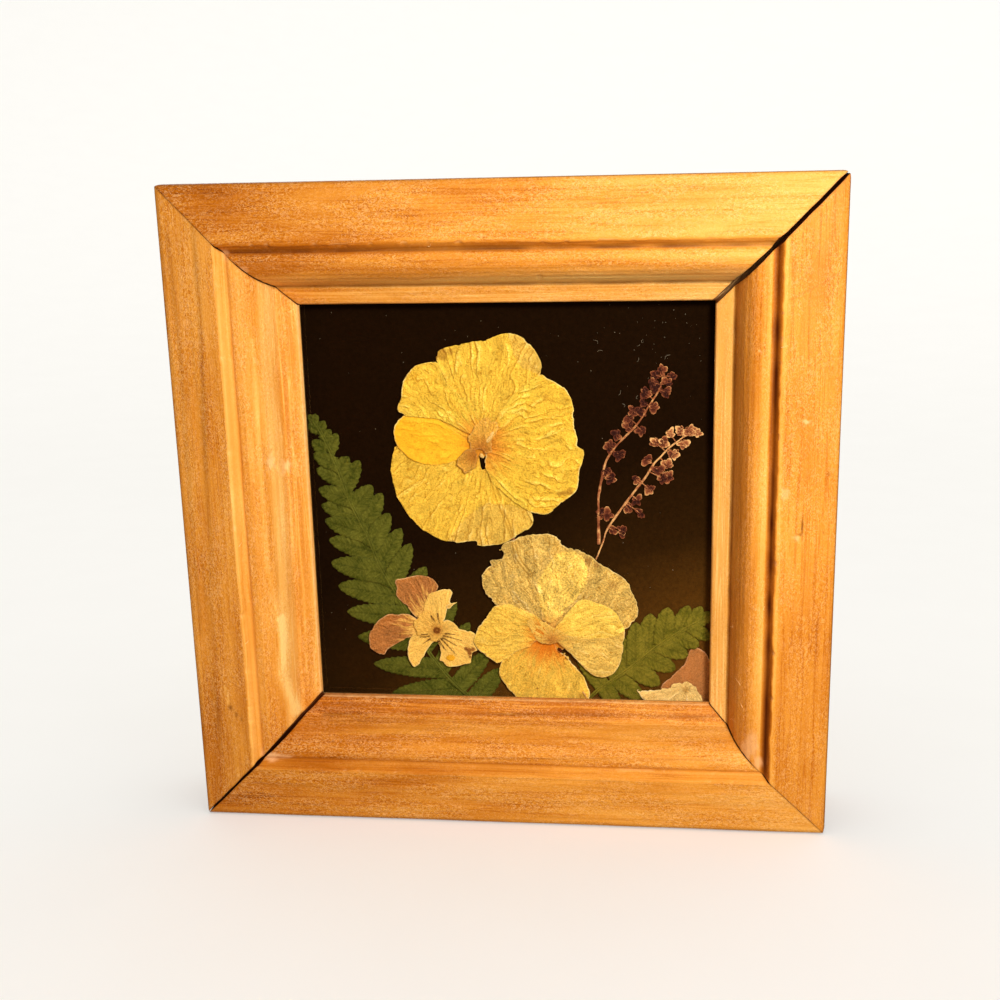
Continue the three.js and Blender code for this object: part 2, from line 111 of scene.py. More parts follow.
def segments_of(loop, closed=True):
    loop = np.asarray(loop, float)
    ends = np.roll(loop, -1, axis=0)
    return (loop, ends) if closed else (loop[:-1], ends[:-1])


def distance_to(points, loop, closed=True):
    """How far each point is from a line of straight segments."""
    starts, ends = segments_of(loop, closed)
    along = ends - starts
    lengths = np.maximum(np.square(along).sum(1), 1e-12)
    nearest = np.empty(len(points))
    for first in range(0, len(points), 4000):
        part = points[first:first + 4000, None, :] - starts[None]
        t = np.clip((part * along).sum(2) / lengths, 0, 1)
        nearest[first:first + 4000] = np.sqrt(np.square(part - t[..., None] * along).sum(2).min(1))
    return nearest


def is_inside(points, loop):
    starts, ends = segments_of(loop)
    inside = np.zeros(len(points), bool)
    for (ax, ay), (bx, by) in zip(starts, ends):
        if ay != by:
            crosses = (ay > points[:, 1]) != (by > points[:, 1])
            inside ^= crosses & (points[:, 0] < (bx - ax) * (points[:, 1] - ay) / (by - ay) + ax)
    return inside


def depth_in(points, loop):
    """Distance to a closed outline: above 0 inside it, below 0 outside."""
    return np.where(is_inside(points, loop), 1, -1) * distance_to(points, loop)


def spline(points, pitch, closed=False):
    """Points at an even pitch on a smooth line through the given ones."""
    points = np.asarray(points, float)
    count = len(points)
    dense = []
    for i in range(count if closed else count - 1):
        around = [(i + k) % count if closed else min(max(i + k, 0), count - 1) for k in (-1, 0, 1, 2)]
        a, b, c, d = points[around]
        t = np.linspace(0, 1, 12, endpoint=False)[:, None]
        bend = (2 * a - 5 * b + 4 * c - d) * t ** 2 + (3 * b - a - 3 * c + d) * t ** 3
        dense.append(0.5 * (2 * b + (c - a) * t + bend))
    dense.append(points[:1] if closed else points[-1:])
    dense = np.concatenate(dense)
    walked = np.concatenate([[0], np.cumsum(np.linalg.norm(np.diff(dense, axis=0), axis=1))])
    places = np.linspace(0, walked[-1], max(3, round(walked[-1] / pitch)) + 1)
    line = np.stack([np.interp(places, walked, dense[:, k]) for k in range(points.shape[1])], 1)
    return line[:-1] if closed else line


# ---- Meshes -------------------------------------------------------------------------------------

def make_piece(name, points, faces, material, slot, replaced=(), attributes=None, flat_faces=0):
    """A mesh piece that rides on the frame. The last flat_faces of its faces are shaded flat."""
    mesh = bpy.data.meshes.new(name)
    mesh.from_pydata((np.asarray(points) * MM).tolist(), [], [list(map(int, face)) for face in faces])
    for key, values in (attributes or {}).items():
        layer = mesh.attributes.new(key, "FLOAT", "POINT")
        layer.data.foreach_set("value", np.asarray(values, np.float32))
    smooth = [True] * (len(faces) - flat_faces) + [False] * flat_faces
    mesh.polygons.foreach_set("use_smooth", smooth)
    mesh.materials.append(material)
    piece = bpy.data.objects.new(name, mesh)
    bpy.context.scene.collection.objects.link(piece)
    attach(piece, "root")
    if replaced:
        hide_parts(*replaced)
    return piece


class Heap:
    """Several closed shells gathered into one mesh, each with its own value of every attribute."""

    def __init__(self):
        self.points = []
        self.faces = []
        self.attributes = {}
        self.count = 0

    def add(self, points, faces, **attributes):
        self.points.append(np.asarray(points, float))
        self.faces += [[index + self.count for index in face] for face in faces]
        self.count += len(points)
        for key, value in attributes.items():
            values = np.broadcast_to(np.asarray(value, float), (len(points),))
            self.attributes.setdefault(key, []).append(values)

    def make(self, name, material, slot, replaced=()):
        attributes = {key: np.concatenate(values) for key, values in self.attributes.items()}
        return make_piece(name, np.concatenate(self.points), self.faces, material, slot, replaced,
                          attributes)


def fill(outline, pitch):
    """Points and triangles that fill a closed outline with an even grid."""
    low = outline.min(0)
    high = outline.max(0)
    rows = np.arange(low[1], high[1], pitch * 0.866)
    columns = np.arange(low[0], high[0] + pitch, pitch)
    grid = np.stack(np.meshgrid(columns, rows), 2)
    grid[1::2, :, 0] += pitch / 2
    grid = grid.reshape(-1, 2)
    grid = grid[depth_in(grid, outline) > pitch * 0.55]
    points = np.concatenate([outline, grid])
    rim = [(i, (i + 1) % len(outline)) for i in range(len(outline))]
    made = geometry.delaunay_2d_cdt([Vector(p) for p in points], rim, [], 1, 1e-7)
    return np.array([tuple(p) for p in made[0]]), [tuple(face) for face in made[2]]


def sheet(flat, triangles, heights, thickness):
    """A thin closed sheet over a flat triangulation: its front faces -Y, heights towards the front."""
    count = len(flat)
    forward = np.asarray(heights, float)
    front = np.stack([flat[:, 0], -forward, flat[:, 1]], 1)
    back = front + (0, thickness, 0)
    facing = [t if is_counterclockwise(flat, t) else t[::-1] for t in triangles]
    edges = {(t[k], t[(k + 1) % 3]) for t in facing for k in range(3)}
    rim = [(a, b) for a, b in edges if (b, a) not in edges]
    faces = list(facing)
    faces += [(t[2] + count, t[1] + count, t[0] + count) for t in facing]
    faces += [(b, a, a + count, b + count) for a, b in sorted(rim)]
    return np.concatenate([front, back]), faces


def level_of(name):
    """How far in front of the part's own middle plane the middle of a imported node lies."""
    low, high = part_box(name)
    return -(low.y + high.y) / 2 / MM


def standing(line, depth):
    """A line given as across and up, as points of the part at one depth."""
    return np.stack([line[:, 0], np.full(len(line), depth), line[:, 1] + HALF], 1)


def is_counterclockwise(flat, triangle):
    a, b, c = flat[list(triangle)]
    return (b[0] - a[0]) * (c[1] - a[1]) - (b[1] - a[1]) * (c[0] - a[0]) > 0


def ring_faces(rings, count, turned=False):
    """Quads between neighbouring rings of count points each. turned makes them face the other way."""
    faces = []
    for i in range(rings - 1):
        for k in range(count):
            here = i * count + k
            beside = i * count + (k + 1) % count
            if turned:
                faces.append((here, here + count, beside + count, beside))
            else:
                faces.append((here, beside, beside + count, here + count))
    return faces


def tube(line, radii, sides=8, flatness=1.0):
    """A closed tube along a line, with capped ends. flatness squeezes it from front to back."""
    line = np.asarray(line, float)
    radii = np.broadcast_to(np.asarray(radii, float), (len(line),))
    ahead = np.gradient(line, axis=0)
    ahead /= np.linalg.norm(ahead, axis=1)[:, None]
    front = np.array([0, -1.0, 0])
    across = np.cross(ahead, front)
    across /= np.maximum(np.linalg.norm(across, axis=1)[:, None], 1e-9)
    up = np.cross(across, ahead)
    points = []
    for k in range(sides):
        angle = 2 * math.pi * k / sides
        ring = across * math.cos(angle) + up * math.sin(angle) * flatness
        points.append(line + ring * radii[:, None])
    points = np.stack(points, 1).reshape(-1, 3)
    faces = ring_faces(len(line), sides)
    faces.append(tuple(range(sides))[::-1])
    faces.append(tuple(range((len(line) - 1) * sides, len(line) * sides)))
    return points, faces


# ---- Shaders ------------------------------------------------------------------------------------

def seen(red, green, blue):
    """A colour as it looks, from 0 to 255 a channel, in the linear values that a shader takes."""
    shares = [channel / 255 for channel in (red, green, blue)]
    return tuple(share / 12.92 if share < 0.0392 else ((share + 0.055) / 1.055) ** 2.4 for share in shares)


class Shader:
    """A procedural material, built by short calls that add nodes and join them."""

    def __init__(self, name):
        self.material = bpy.data.materials.new(name)
        self.material.use_nodes = True
        self.tree = self.material.node_tree
        self.tree.nodes.clear()
        self.surface = self.tree.nodes.new("ShaderNodeBsdfPrincipled")
        output = self.tree.nodes.new("ShaderNodeOutputMaterial")
        self.tree.links.new(self.surface.outputs[0], output.inputs["Surface"])

    def feed(self, socket, value):
        if isinstance(value, bpy.types.NodeSocket):
            self.tree.links.new(value, socket)
        elif isinstance(value, tuple) and len(value) == 3 and len(socket.default_value) == 4:
            socket.default_value = (*value, 1)
        else:
            socket.default_value = value

    def add(self, kind, inputs=None, **settings):
        node = self.tree.nodes.new(kind)
        for key, value in settings.items():
            setattr(node, key, value)
        for key, value in (inputs or {}).items():
            self.feed(node.inputs[key], value)
        return node

    def set(self, **inputs):
        """Sets the surface's own sockets: base_color sets Base Color, and so on."""
        names = {socket.name.lower().replace(" ", "_"): socket for socket in self.surface.inputs}
        for key, value in inputs.items():
            self.feed(names[key], value)

    def attribute(self, name):
        return self.add("ShaderNodeAttribute", attribute_name=name).outputs["Fac"]

    def own_place(self):
        """The place in the piece's own space."""
        return self.add("ShaderNodeTexCoord").outputs["Object"]

    def place(self, x, y, z=0.0):
        return self.add("ShaderNodeCombineXYZ", {0: x, 1: y, 2: z}).outputs[0]

    def math(self, operation, a, b=0.0, c=0.0):
        return self.add("ShaderNodeMath", {0: a, 1: b, 2: c}, operation=operation).outputs[0]

    def times(self, a, b, rest=0.0):
        """a times b, plus rest."""
        return self.math("MULTIPLY_ADD", a, b, rest)

    def swing(self, noise, strength, rest=0.0):
        """rest, moved both ways by a noise about its middle."""
        return self.times(self.math("SUBTRACT", noise, 0.5), strength, rest)

    def off_middle(self, noise):
        """How far a noise is from its middle: near 0 along thin wandering lines."""
        return self.math("ABSOLUTE", self.math("SUBTRACT", noise, 0.5))

    def noise(self, place, scale, detail=2.0, roughness=0.5, distortion=0.0):
        inputs = {"Vector": place, "Scale": scale, "Detail": detail, "Roughness": roughness}
        return self.add("ShaderNodeTexNoise", {**inputs, "Distortion": distortion}).outputs["Fac"]

    def ramp(self, value, *stops):
        """A colour by stops of (place, colour)."""
        node = self.add("ShaderNodeValToRGB", {"Fac": value})
        elements = node.color_ramp.elements
        while len(elements) < len(stops):
            elements.new(0.5)
        for element, (place, colour) in zip(elements, stops):
            element.position = place
            element.color = (*colour, 1)
        return node.outputs["Color"]

    def rise(self, value, low, high):
        """0 at low and 1 at high, smooth between them."""
        inputs = {"Value": value, "From Min": low, "From Max": high}
        return self.add("ShaderNodeMapRange", inputs, interpolation_type="SMOOTHSTEP").outputs[0]

    def blend(self, share, a, b, mode="MIX"):
        node = self.add("ShaderNodeMix", data_type="RGBA", blend_type=mode)
        self.feed(node.inputs[0], share)
        self.feed(node.inputs[6], a)
        self.feed(node.inputs[7], b)
        return node.outputs[2]

    def tinted(self, colour, tint):
        """The colour times another colour, given as a colour or as a place."""
        return self.blend(1.0, colour, tint, "MULTIPLY")

    def bump(self, height, strength, distance):
        inputs = {"Height": height, "Strength": strength, "Distance": distance * MM}
        self.feed(self.surface.inputs["Normal"], self.add("ShaderNodeBump", inputs).outputs[0])


def wood_material():
    """Stained pine. Its noises run along the rail and round its section, so the grain follows both."""
    shader = Shader("varnished_pine")
    along = shader.attribute("along")
    girth = shader.attribute("girth")
    inward = shader.attribute("inward")
    raw = shader.attribute("raw")

    def grain(along_scale, girth_scale, offset, *settings):
        place = shader.place(shader.times(along, along_scale), shader.times(girth, girth_scale), offset)
        return shader.noise(place, 1, *settings)

    def lines(noise, width):
        return shader.rise(shader.off_middle(noise), width, width * 0.2)

    rings = grain(0.03, 0.62, 0, 4, 0.6, 0.3)
    broad = grain(0.045, 0.16, 5, 2, 0.5)
    fuzz = grain(1.5, 2.2, 9, 3, 0.65, 0.6)
    grit = grain(3.4, 4.4, 12, 2, 0.6)
    curls = grain(0.85, 1.5, 14, 2, 0.55, 1.2)
    patches = grain(0.07, 0.26, 21, 2, 0.6)
    threads = grain(0.02, 0.9, 31, 2, 0.5, 0.25)

    step_band = shader.times(shader.rise(inward, 10.8, 11.2), shader.rise(inward, 13.2, 12.8))
    lip = shader.rise(inward, 17.9, 19.0)
    fuzz_share = shader.times(shader.rise(patches, 0.35, 0.6), 0.65, 0.35)
    fuzz_share = shader.times(fuzz_share, shader.times(step_band, -0.7, 1.0))
    fuzz_share = shader.times(fuzz_share, shader.attribute("fuzz"))

    value = shader.math("ADD", shader.attribute("tone"), shader.swing(rings, 0.26, 0.44))
    value = shader.swing(broad, 0.42, value)
    value = shader.times(shader.swing(fuzz, 0.75), fuzz_share, value)
    value = shader.times(shader.swing(grit, 0.6), fuzz_share, value)
    value = shader.times(lines(threads, 0.03), shader.times(lip, 0.28, -0.1), value)
    colour = shader.ramp(
        value, (0.0, seen(120, 52, 0)), (0.25, seen(180, 100, 10)), (0.5, seen(215, 141, 48)),
        (0.75, seen(236, 173, 86)), (1.0, seen(248, 211, 132)))
    curl = shader.times(lines(curls, 0.055), shader.times(fuzz_share, 0.4))
    colour = shader.blend(curl, colour, seen(250, 194, 132))
    # dark holds dents, stains and dark joints, and painted shade in the grooves, the mitre gaps and along the
    # outer edge
    colour = shader.blend(shader.attribute("dark"), colour, seen(74, 24, 0))
    colour = shader.blend(shader.attribute("bare"), colour, seen(252, 208, 148))
    colour = shader.blend(shader.attribute("filler"), colour, seen(232, 176, 124))
    raw_value = shader.math("ADD", rings, shader.swing(fuzz, 0.4))
    raw_colour = shader.ramp(raw_value, (0.3, seen(192, 146, 90)), (0.7, seen(230, 194, 140)))
    colour = shader.blend(raw, colour, raw_colour)
    rough = shader.times(raw, 0.25, shader.times(fuzz, 0.3, 0.42))
    height = shader.times(fuzz, fuzz_share, shader.times(rings, 0.4))
    shader.set(base_color=colour, roughness=rough, specular_ior_level=0.14)
    shader.bump(shader.times(curl, 0.5, height), 0.8, 0.16)
    return shader.material


def petal_material(name, single, double, heart, heart_reach, rim, mottle=0.3, lines=0.5, heart_edge=0.2,
                   rim_share=0.7, heart_share=0.88):
    """A pressed petal. single is its colour by itself over the card, double where a petal lies under it.

    heart is its colour near the throat, out to heart_reach, and fades from heart_edge of that distance on.
    lines is how strong its creases are, in bump and in painted shade, and rim_share how much of its edge has
    faded to the colour rim.
    """
    shader = Shader(name)
    reach = shader.attribute("reach")
    lift = shader.attribute("lift")
    under = shader.attribute("under")
    plane = shader.place(shader.attribute("across"), shader.attribute("up"))
    veins = shader.noise(shader.place(shader.attribute("fold"), shader.times(reach, 0.16)), 1.1, 3, 0.6,
                         0.4)
    crumple = shader.noise(plane, 0.85, 3, 0.65, 0.7)
    blotch = shader.noise(plane, 0.26, 3, 0.6, 0.5)
    grit = shader.noise(plane, 2.6, 3, 0.75)
    over = shader.rise(shader.swing(crumple, 1.1, under), -0.22, 0.22)

    shade = shader.swing(grit, mottle * 2.2, 1.0)
    shade = shader.swing(blotch, mottle * 1.5, shade)
    shade = shader.swing(veins, mottle * 1.1, shade)
    # Painted light and shade: raised parts of the wrinkles lighter, low parts darker
    shade = shader.times(lift, 0.16, shade)
    colour = shader.tinted(shader.blend(over, single, double), shader.place(shade, shade, shade))
    # Painted highlight: the raised crests of the wrinkles turn paler and more lemon
    crest_highlight = shader.times(shader.rise(lift, 0.05, 1.0), shader.rise(grit, 0.35, 0.6))
    tint = shader.place(1.0, shader.times(crest_highlight, 0.2, 1.0), shader.times(crest_highlight, 1.2, 1.0))
    colour = shader.tinted(colour, tint)
    streaks = shader.swing(veins, heart_reach * 2.2, heart_reach)
    glow = shader.rise(shader.math("DIVIDE", reach, streaks), 1.05, heart_edge)
    colour = shader.blend(shader.times(glow, heart_share), colour, heart)

    # Painted shade in the creases: along crumple and vein lines and the steep sides of the wrinkles
    vein_lines = shader.rise(shader.off_middle(veins), 0.05, 0.004)
    crumple_lines = shader.rise(shader.off_middle(crumple), 0.03, 0.004)
    creases = shader.times(vein_lines, shader.rise(crumple, 0.5, 0.62))
    creases = shader.math("MAXIMUM", creases, shader.times(crumple_lines, shader.rise(blotch, 0.42, 0.6)))
    creases = shader.math("MAXIMUM", creases, shader.attribute("crease"))
    painted_shade_colour = shader.tinted(colour, (0.56, 0.42, 0.16))
    colour = shader.blend(shader.times(creases, lines), colour, painted_shade_colour)
    # Painted shade: a faint dark line where the edge of a petal below lies under this one
    lower_edge_shade = shader.rise(shader.math("ABSOLUTE", under), 0.2, 0.05)
    colour = shader.blend(shader.times(lower_edge_shade, 0.14), colour, painted_shade_colour)
    bare_rim = shader.rise(shader.attribute("edge"), 0.32, 0.06)
    broken = shader.times(shader.rise(blotch, 0.4, 0.62), 0.8, 0.2)
    faded = shader.times(shader.times(over, -0.9 * rim_share, rim_share), broken)
    colour = shader.blend(shader.times(bare_rim, faded), colour, rim)
    colour = shader.blend(shader.attribute("spot"), colour, seen(122, 56, 16))
    colour = shader.blend(shader.attribute("guide"), colour, seen(84, 38, 8))
    shader.set(base_color=colour, roughness=0.7, specular_ior_level=0.08)
    height = shader.times(shader.off_middle(crumple), 0.9, shader.off_middle(veins))
    shader.bump(shader.times(grit, 0.3, height), 1.0, 0.6 * lines + 0.12)
    return shader.material


def plain_petal_material(name, colour, *rest, **settings):
    """A petal of one colour, whatever lies under it."""
    return petal_material(name, colour, colour, *rest, **settings)


def frond_material(name, dark, light):
    """A pressed fern, from dark to light, with pale veins and dark furrows."""
    shader = Shader(name)
    plane = shader.place(shader.attribute("across"), shader.attribute("up"))
    patch = shader.noise(plane, 0.35, 3, 0.6)
    grit = shader.noise(plane, 2.4, 3, 0.7)
    fibres = shader.noise(shader.place(shader.attribute("far"), shader.attribute("off")), 1.0, 3, 0.65, 0.5)
    value = shader.swing(fibres, 0.9, shader.swing(grit, 0.7, patch))
    value = shader.times(shader.attribute("vein"), 0.22, value)
    colour = shader.ramp(value, (0.2, dark), (0.85, light))
    shadow = tuple(channel * 0.45 for channel in dark)
    colour = shader.blend(shader.times(shader.attribute("furrow"), 0.6), colour, shadow)
    shader.set(base_color=colour, roughness=0.75, specular_ior_level=0.05)
    shader.bump(shader.times(fibres, 0.6, grit), 0.8, 0.1)
    return shader.material


def sprig_material():
    """Dry stems and florets, from dark to pale by their attribute light."""
    shader = Shader("dried_sprig")
    grit = shader.noise(shader.own_place(), 2600, 3, 0.7)
    value = shader.swing(grit, 0.7, shader.attribute("light"))
    colour = shader.ramp(
        value, (0.0, seen(40, 12, 6)), (0.4, seen(96, 44, 26)), (0.7, seen(152, 90, 54)),
        (1.0, seen(220, 168, 108)))
    shader.set(base_color=colour, roughness=0.75, specular_ior_level=0.1)
    shader.bump(grit, 0.5, 0.06)
    return shader.material


def card_material():
    """Dark card, painted a little browner towards the lower right: a painted reflection on the pane."""
    shader = Shader("dark_mount_card")
    place = shader.own_place()
    across, _, up = shader.add("ShaderNodeSeparateXYZ", {0: place}).outputs
    fibres = shader.noise(place, 1500, 4, 0.7)
    cloud = shader.noise(place, 25, 2, 0.5)
    # Painted reflection: lighter towards the lower right
    fade = shader.math("ADD", shader.times(across, 7.0, shader.times(up, -16.0)), 0.87)
    fade = shader.times(cloud, 0.3, fade)
    colour = shader.ramp(fade, (0.0, seen(24, 12, 4)), (0.36, seen(42, 24, 6)), (0.7, seen(84, 52, 15)))
    shade = shader.times(fibres, 1.2, 0.4)
    colour = shader.tinted(colour, shader.place(shade, shade, shade))
    shader.set(base_color=colour, roughness=0.9, specular_ior_level=0.0)
    shader.bump(fibres, 0.5, 0.04)
    return shader.material


def board_material():
    shader = Shader("pressed_fibre_board")
    place = shader.own_place()
    fibres = shader.noise(place, 900, 5, 0.75, 1.5)
    cloud = shader.noise(place, 60, 3, 0.6)
    value = shader.times(fibres, 0.6, shader.times(cloud, 0.4))
    colour = shader.ramp(value, (0.3, seen(96, 62, 36)), (0.5, seen(134, 92, 56)),
                         (0.72, seen(172, 128, 84)))
    shader.set(base_color=colour, roughness=0.85)
    shader.bump(fibres, 0.6, 0.08)
    return shader.material


def steel_material():
    shader = Shader("zinc_grey_steel")
    place = shader.own_place()
    brushed = shader.add("ShaderNodeMapping", {"Vector": place, "Scale": (900, 900, 9000)}).outputs[0]
    scratches = shader.noise(brushed, 1, 3, 0.6)
    dull = shader.noise(place, 350, 3, 0.6)
    colour = shader.ramp(dull, (0.3, seen(150, 150, 146)), (0.7, seen(188, 188, 184)))
    shader.set(base_color=colour, roughness=shader.times(scratches, 0.3, 0.28), metallic=1.0)
    shader.bump(scratches, 0.3, 0.02)
    return shader.material


def glass_material():
    shader = Shader("picture_glass")
    cast = shader.noise(shader.own_place(), 18, 1, 0.5)
    tint = shader.ramp(cast, (0.0, (0.975, 0.985, 0.975)), (1.0, (0.985, 0.99, 0.985)))
    shader.set(base_color=tint, roughness=0.0, ior=1.5, transmission_weight=1.0)
    return shader.material


def floor_material():
    shader = Shader("pale_floor")
    grain = shader.noise(shader.own_place(), 40, 2, 0.5)
    colour = shader.ramp(grain, (0.0, (0.93, 0.925, 0.91)), (1.0, (0.95, 0.945, 0.93)))
    shader.set(base_color=colour, roughness=0.9, specular_ior_level=0.0)
    return shader.material


# ---- The frame's rails --------------------------------------------------------------------------

def section_line():
    """The moulding's section with close points: inward, height, and the way out of the wood."""
    points = np.array(MOULDING, float)
    line = []
    for a, b in zip(points, np.roll(points, -1, axis=0)):
        length = np.linalg.norm(b - a)
        shows = (a[1] + b[1]) / 2 > GLASS_SEAT + 0.3 and a[0] + b[0] > 0
        steps = max(1, round(length / (0.33 if shows else 1.1)))
        line += [a + (b - a) * k / steps for k in range(steps)]
    line = np.array(line)
    ahead = np.roll(line, -1, axis=0) - np.roll(line, 1, axis=0)
    ahead /= np.linalg.norm(ahead, axis=1)[:, None]
    outward = np.stack([-ahead[:, 1], ahead[:, 0]], 1)
    girth = np.concatenate([[0], np.cumsum(np.linalg.norm(np.diff(line, axis=0), axis=1))])
    return line, outward, girth


def on_rail(turns, x, z):
    """A place on the front of the frame, as (along, inward) on the rail with that many quarter turns."""
    up = z - HALF
    return [(x, up + HALF), (-up, x + HALF), (-x, HALF - up), (up, HALF - x)][turns]


# Marks in the wood, each (rail's quarter turns, x, z, half length along, half width, depth, strength)
CHIPS = [
    (1, -45.6, 74.2, 1.6, 0.5, 0.25, 0.9), (1, -44.2, 72.4, 1.5, 0.7, 0.3, 0.9),
    (3, 57.2, 82.8, 0.35, 0.9, 0.15, 0.9), (3, 48.4, 95.5, 0.4, 0.3, 0.2, 0.8),
    (3, 56.1, 61.0, 0.7, 0.8, 0.15, 0.6), (3, 53.6, 69.3, 1.2, 1.0, 0.15, 0.5),
    (2, 8.0, 108.9, 0.35, 0.4, 0.25, 0.9), (1, -52.3, 62.0, 0.5, 0.3, 0.1, 0.6),
    (0, 25.0, 12.6, 4.5, 0.2, 0.05, 0.4),
]
DARK_MARKS = [
    (1, -56.4, 24.1, 0.5, 0.4, 0.12, 0.75), (1, -55.2, 22.7, 0.6, 0.28, 0.1, 0.6),
    (1, -54.2, 21.7, 0.5, 0.25, 0.1, 0.5), (3, 57.0, 63.0, 1.7, 0.16, 0.25, 0.85),
    (3, 56.6, 61.6, 0.25, 0.25, 0.2, 0.8), (3, 61.6, 73.0, 0.3, 0.3, 0.1, 0.6),
    (3, 61.0, 62.0, 0.2, 0.2, 0.1, 0.6),
]
DARK_STREAKS = [
    (1, [(-55.8, 120), (-55.8, 105.9), (-56.6, 88.9), (-57.7, 67.4), (-58.7, 42.8), (-59.6, 14)], 0.6,
     0.26), (1, [(-61.2, 118), (-60.8, 96), (-61.2, 70), (-61.6, 40)], 0.6, 0.18),
    (0, [(-40, 19.3), (-21.5, 19.8), (11, 20.3), (42, 20.6)], 0.28, 0.45),
    (0, [(-48, 13.2), (-21.7, 13.7), (10.9, 14.7), (44, 15.3)], 0.2, 0.3),
    (3, [(53.4, 104.7), (62, 109)], 0.14, 0.35),
]
# Paler streaks, each (rail's quarter turns, route, width, how much lighter)
PALE_STREAKS = [
    (1, [(-45.9, 42), (-45.8, 37.6), (-46.3, 30.7), (-45.6, 25.1), (-44.7, 20.3)], 0.55, 0.42),
    (1, [(-46.9, 98.1), (-47.1, 76.7), (-47.1, 54.4), (-46.2, 42)], 0.4, 0.2),
    (1, [(-43.2, 104), (-43.0, 84), (-43.3, 66), (-42.8, 46), (-43.2, 28)], 0.22, 0.2),
    (1, [(-52.2, 112), (-52.1, 84), (-52.3, 60), (-52.0, 38), (-52.2, 16)], 0.3, 0.14),
    (1, [(-57.2, 28.6), (-56.6, 26.6), (-56.8, 25.2)], 0.3, 0.25),
    (0, [(-46, 17.4), (-20, 18.0), (10, 18.3), (44, 18.4)], 0.35, 0.12),
    (2, [(-40, 105.8), (-10, 105.6), (20, 105.9), (40, 105.7)], 0.3, 0.12),
]
# Pale filler at the mitres, each (rail's quarter turns, x, z, half length along, half width, strength)
FILLERS = [
    (3, 48.6, 18.0, 3.4, 2.0, 0.5), (3, 50.0, 15.2, 1.5, 1.0, 0.6), (0, 46.2, 20.0, 1.6, 0.8, 0.3),
    (0, -48.6, 13.2, 2.6, 1.0, 0.95), (0, -46.4, 13.4, 2.4, 0.6, 0.6), (1, -50.6, 14.0, 1.2, 0.5, 0.6),
    (1, -50.6, 113.8, 1.5, 0.8, 0.35), (2, -47.8, 111.2, 1.4, 0.7, 0.35), (2, -50.8, 114.4, 1.0, 0.6, 0.35),
]
# How light each rail's wood is, as (distance in from the outer edge, tone): bottom, left, top, right; partly
# the wood's own tone and partly painted light and shade, matching how each band faces the lamp
RAIL_TONES_AND_PAINTED_LIGHT = [
    [(0, -0.02), (10.6, 0.0), (11.2, -0.02), (13, -0.03), (13.4, -0.06), (17.5, -0.05), (19.3, -0.04),
     (20, -0.2), (SIGHT, -0.22)],
    [(0, 0.0), (10.9, 0.02), (11.1, 0.16), (12.9, 0.16), (13.2, 0.06), (16.4, 0.06), (17.4, 0.1),
     (17.9, 0.34), (18.6, 0.34), (19.1, 0.1), (19.7, 0.0), (20.6, -0.04), (21.8, 0.03), (22.4, 0.18),
     (SIGHT, 0.18)],
    [(0, 0.0), (10.8, 0.04), (11.3, -0.04), (12.9, -0.1), (13.3, -0.04), (16.4, 0.02), (17.4, 0.22),
     (18.6, 0.48), (19.5, 0.24), (20, 0.1), (SIGHT, 0.18)],
    [(0, -0.04), (10.2, -0.02), (10.8, 0.16), (11.3, 0.16), (11.6, -0.2), (12.8, -0.2), (13.1, 0.2),
     (14.2, 0.08), (14.8, 0.0), (16, -0.04), (18.4, 0.06), (19.2, 0.0), (19.6, 0.28), (SIGHT, 0.26)],
]
# How rough the plane left each rail
RAIL_FUZZ = [1.0, 1.0, 0.95, 0.7]
# How dark each rail's grooves are painted: painted shade, strongest on the right and top rails whose grooves
# face away from the lamp, with some old varnish
GROOVE_SHADE_AND_GRIME = [0.12, 0.0, 0.85, 0.95]
GROOVE_MIDDLES = [12.5, 12.5, 12.5, 12.2]
GROOVE_WIDTHS = [0.5, 0.5, 0.32, 0.5]
# How worn and pale each rail's edge is beside the pane
SIGHT_WEAR = [0.5, 0.6, 0.2, 0.15]
# How much lighter each rail gets from one end to the other along its own direction
RAIL_DRIFTS = [0.16, -0.05, -0.2, 0.0]


# How many steps apart the first and the last ring of a rail are
RAIL_STEPS = 262
# The middle of the ridge beside the step, and a height that only the ridge and the outer rim lie above
RIDGE = 11.3
RIM_FOOT = 19


def ring_places():
    """The places of a rail's rings, from 0 at its left end to 1 at its right end, closer at both ends."""
    close = np.array([0, 0.0004, 0.0016])
    return np.concatenate([close, np.linspace(0.004, 0.996, RAIL_STEPS - 5), 1 - close[::-1]])[:, None]


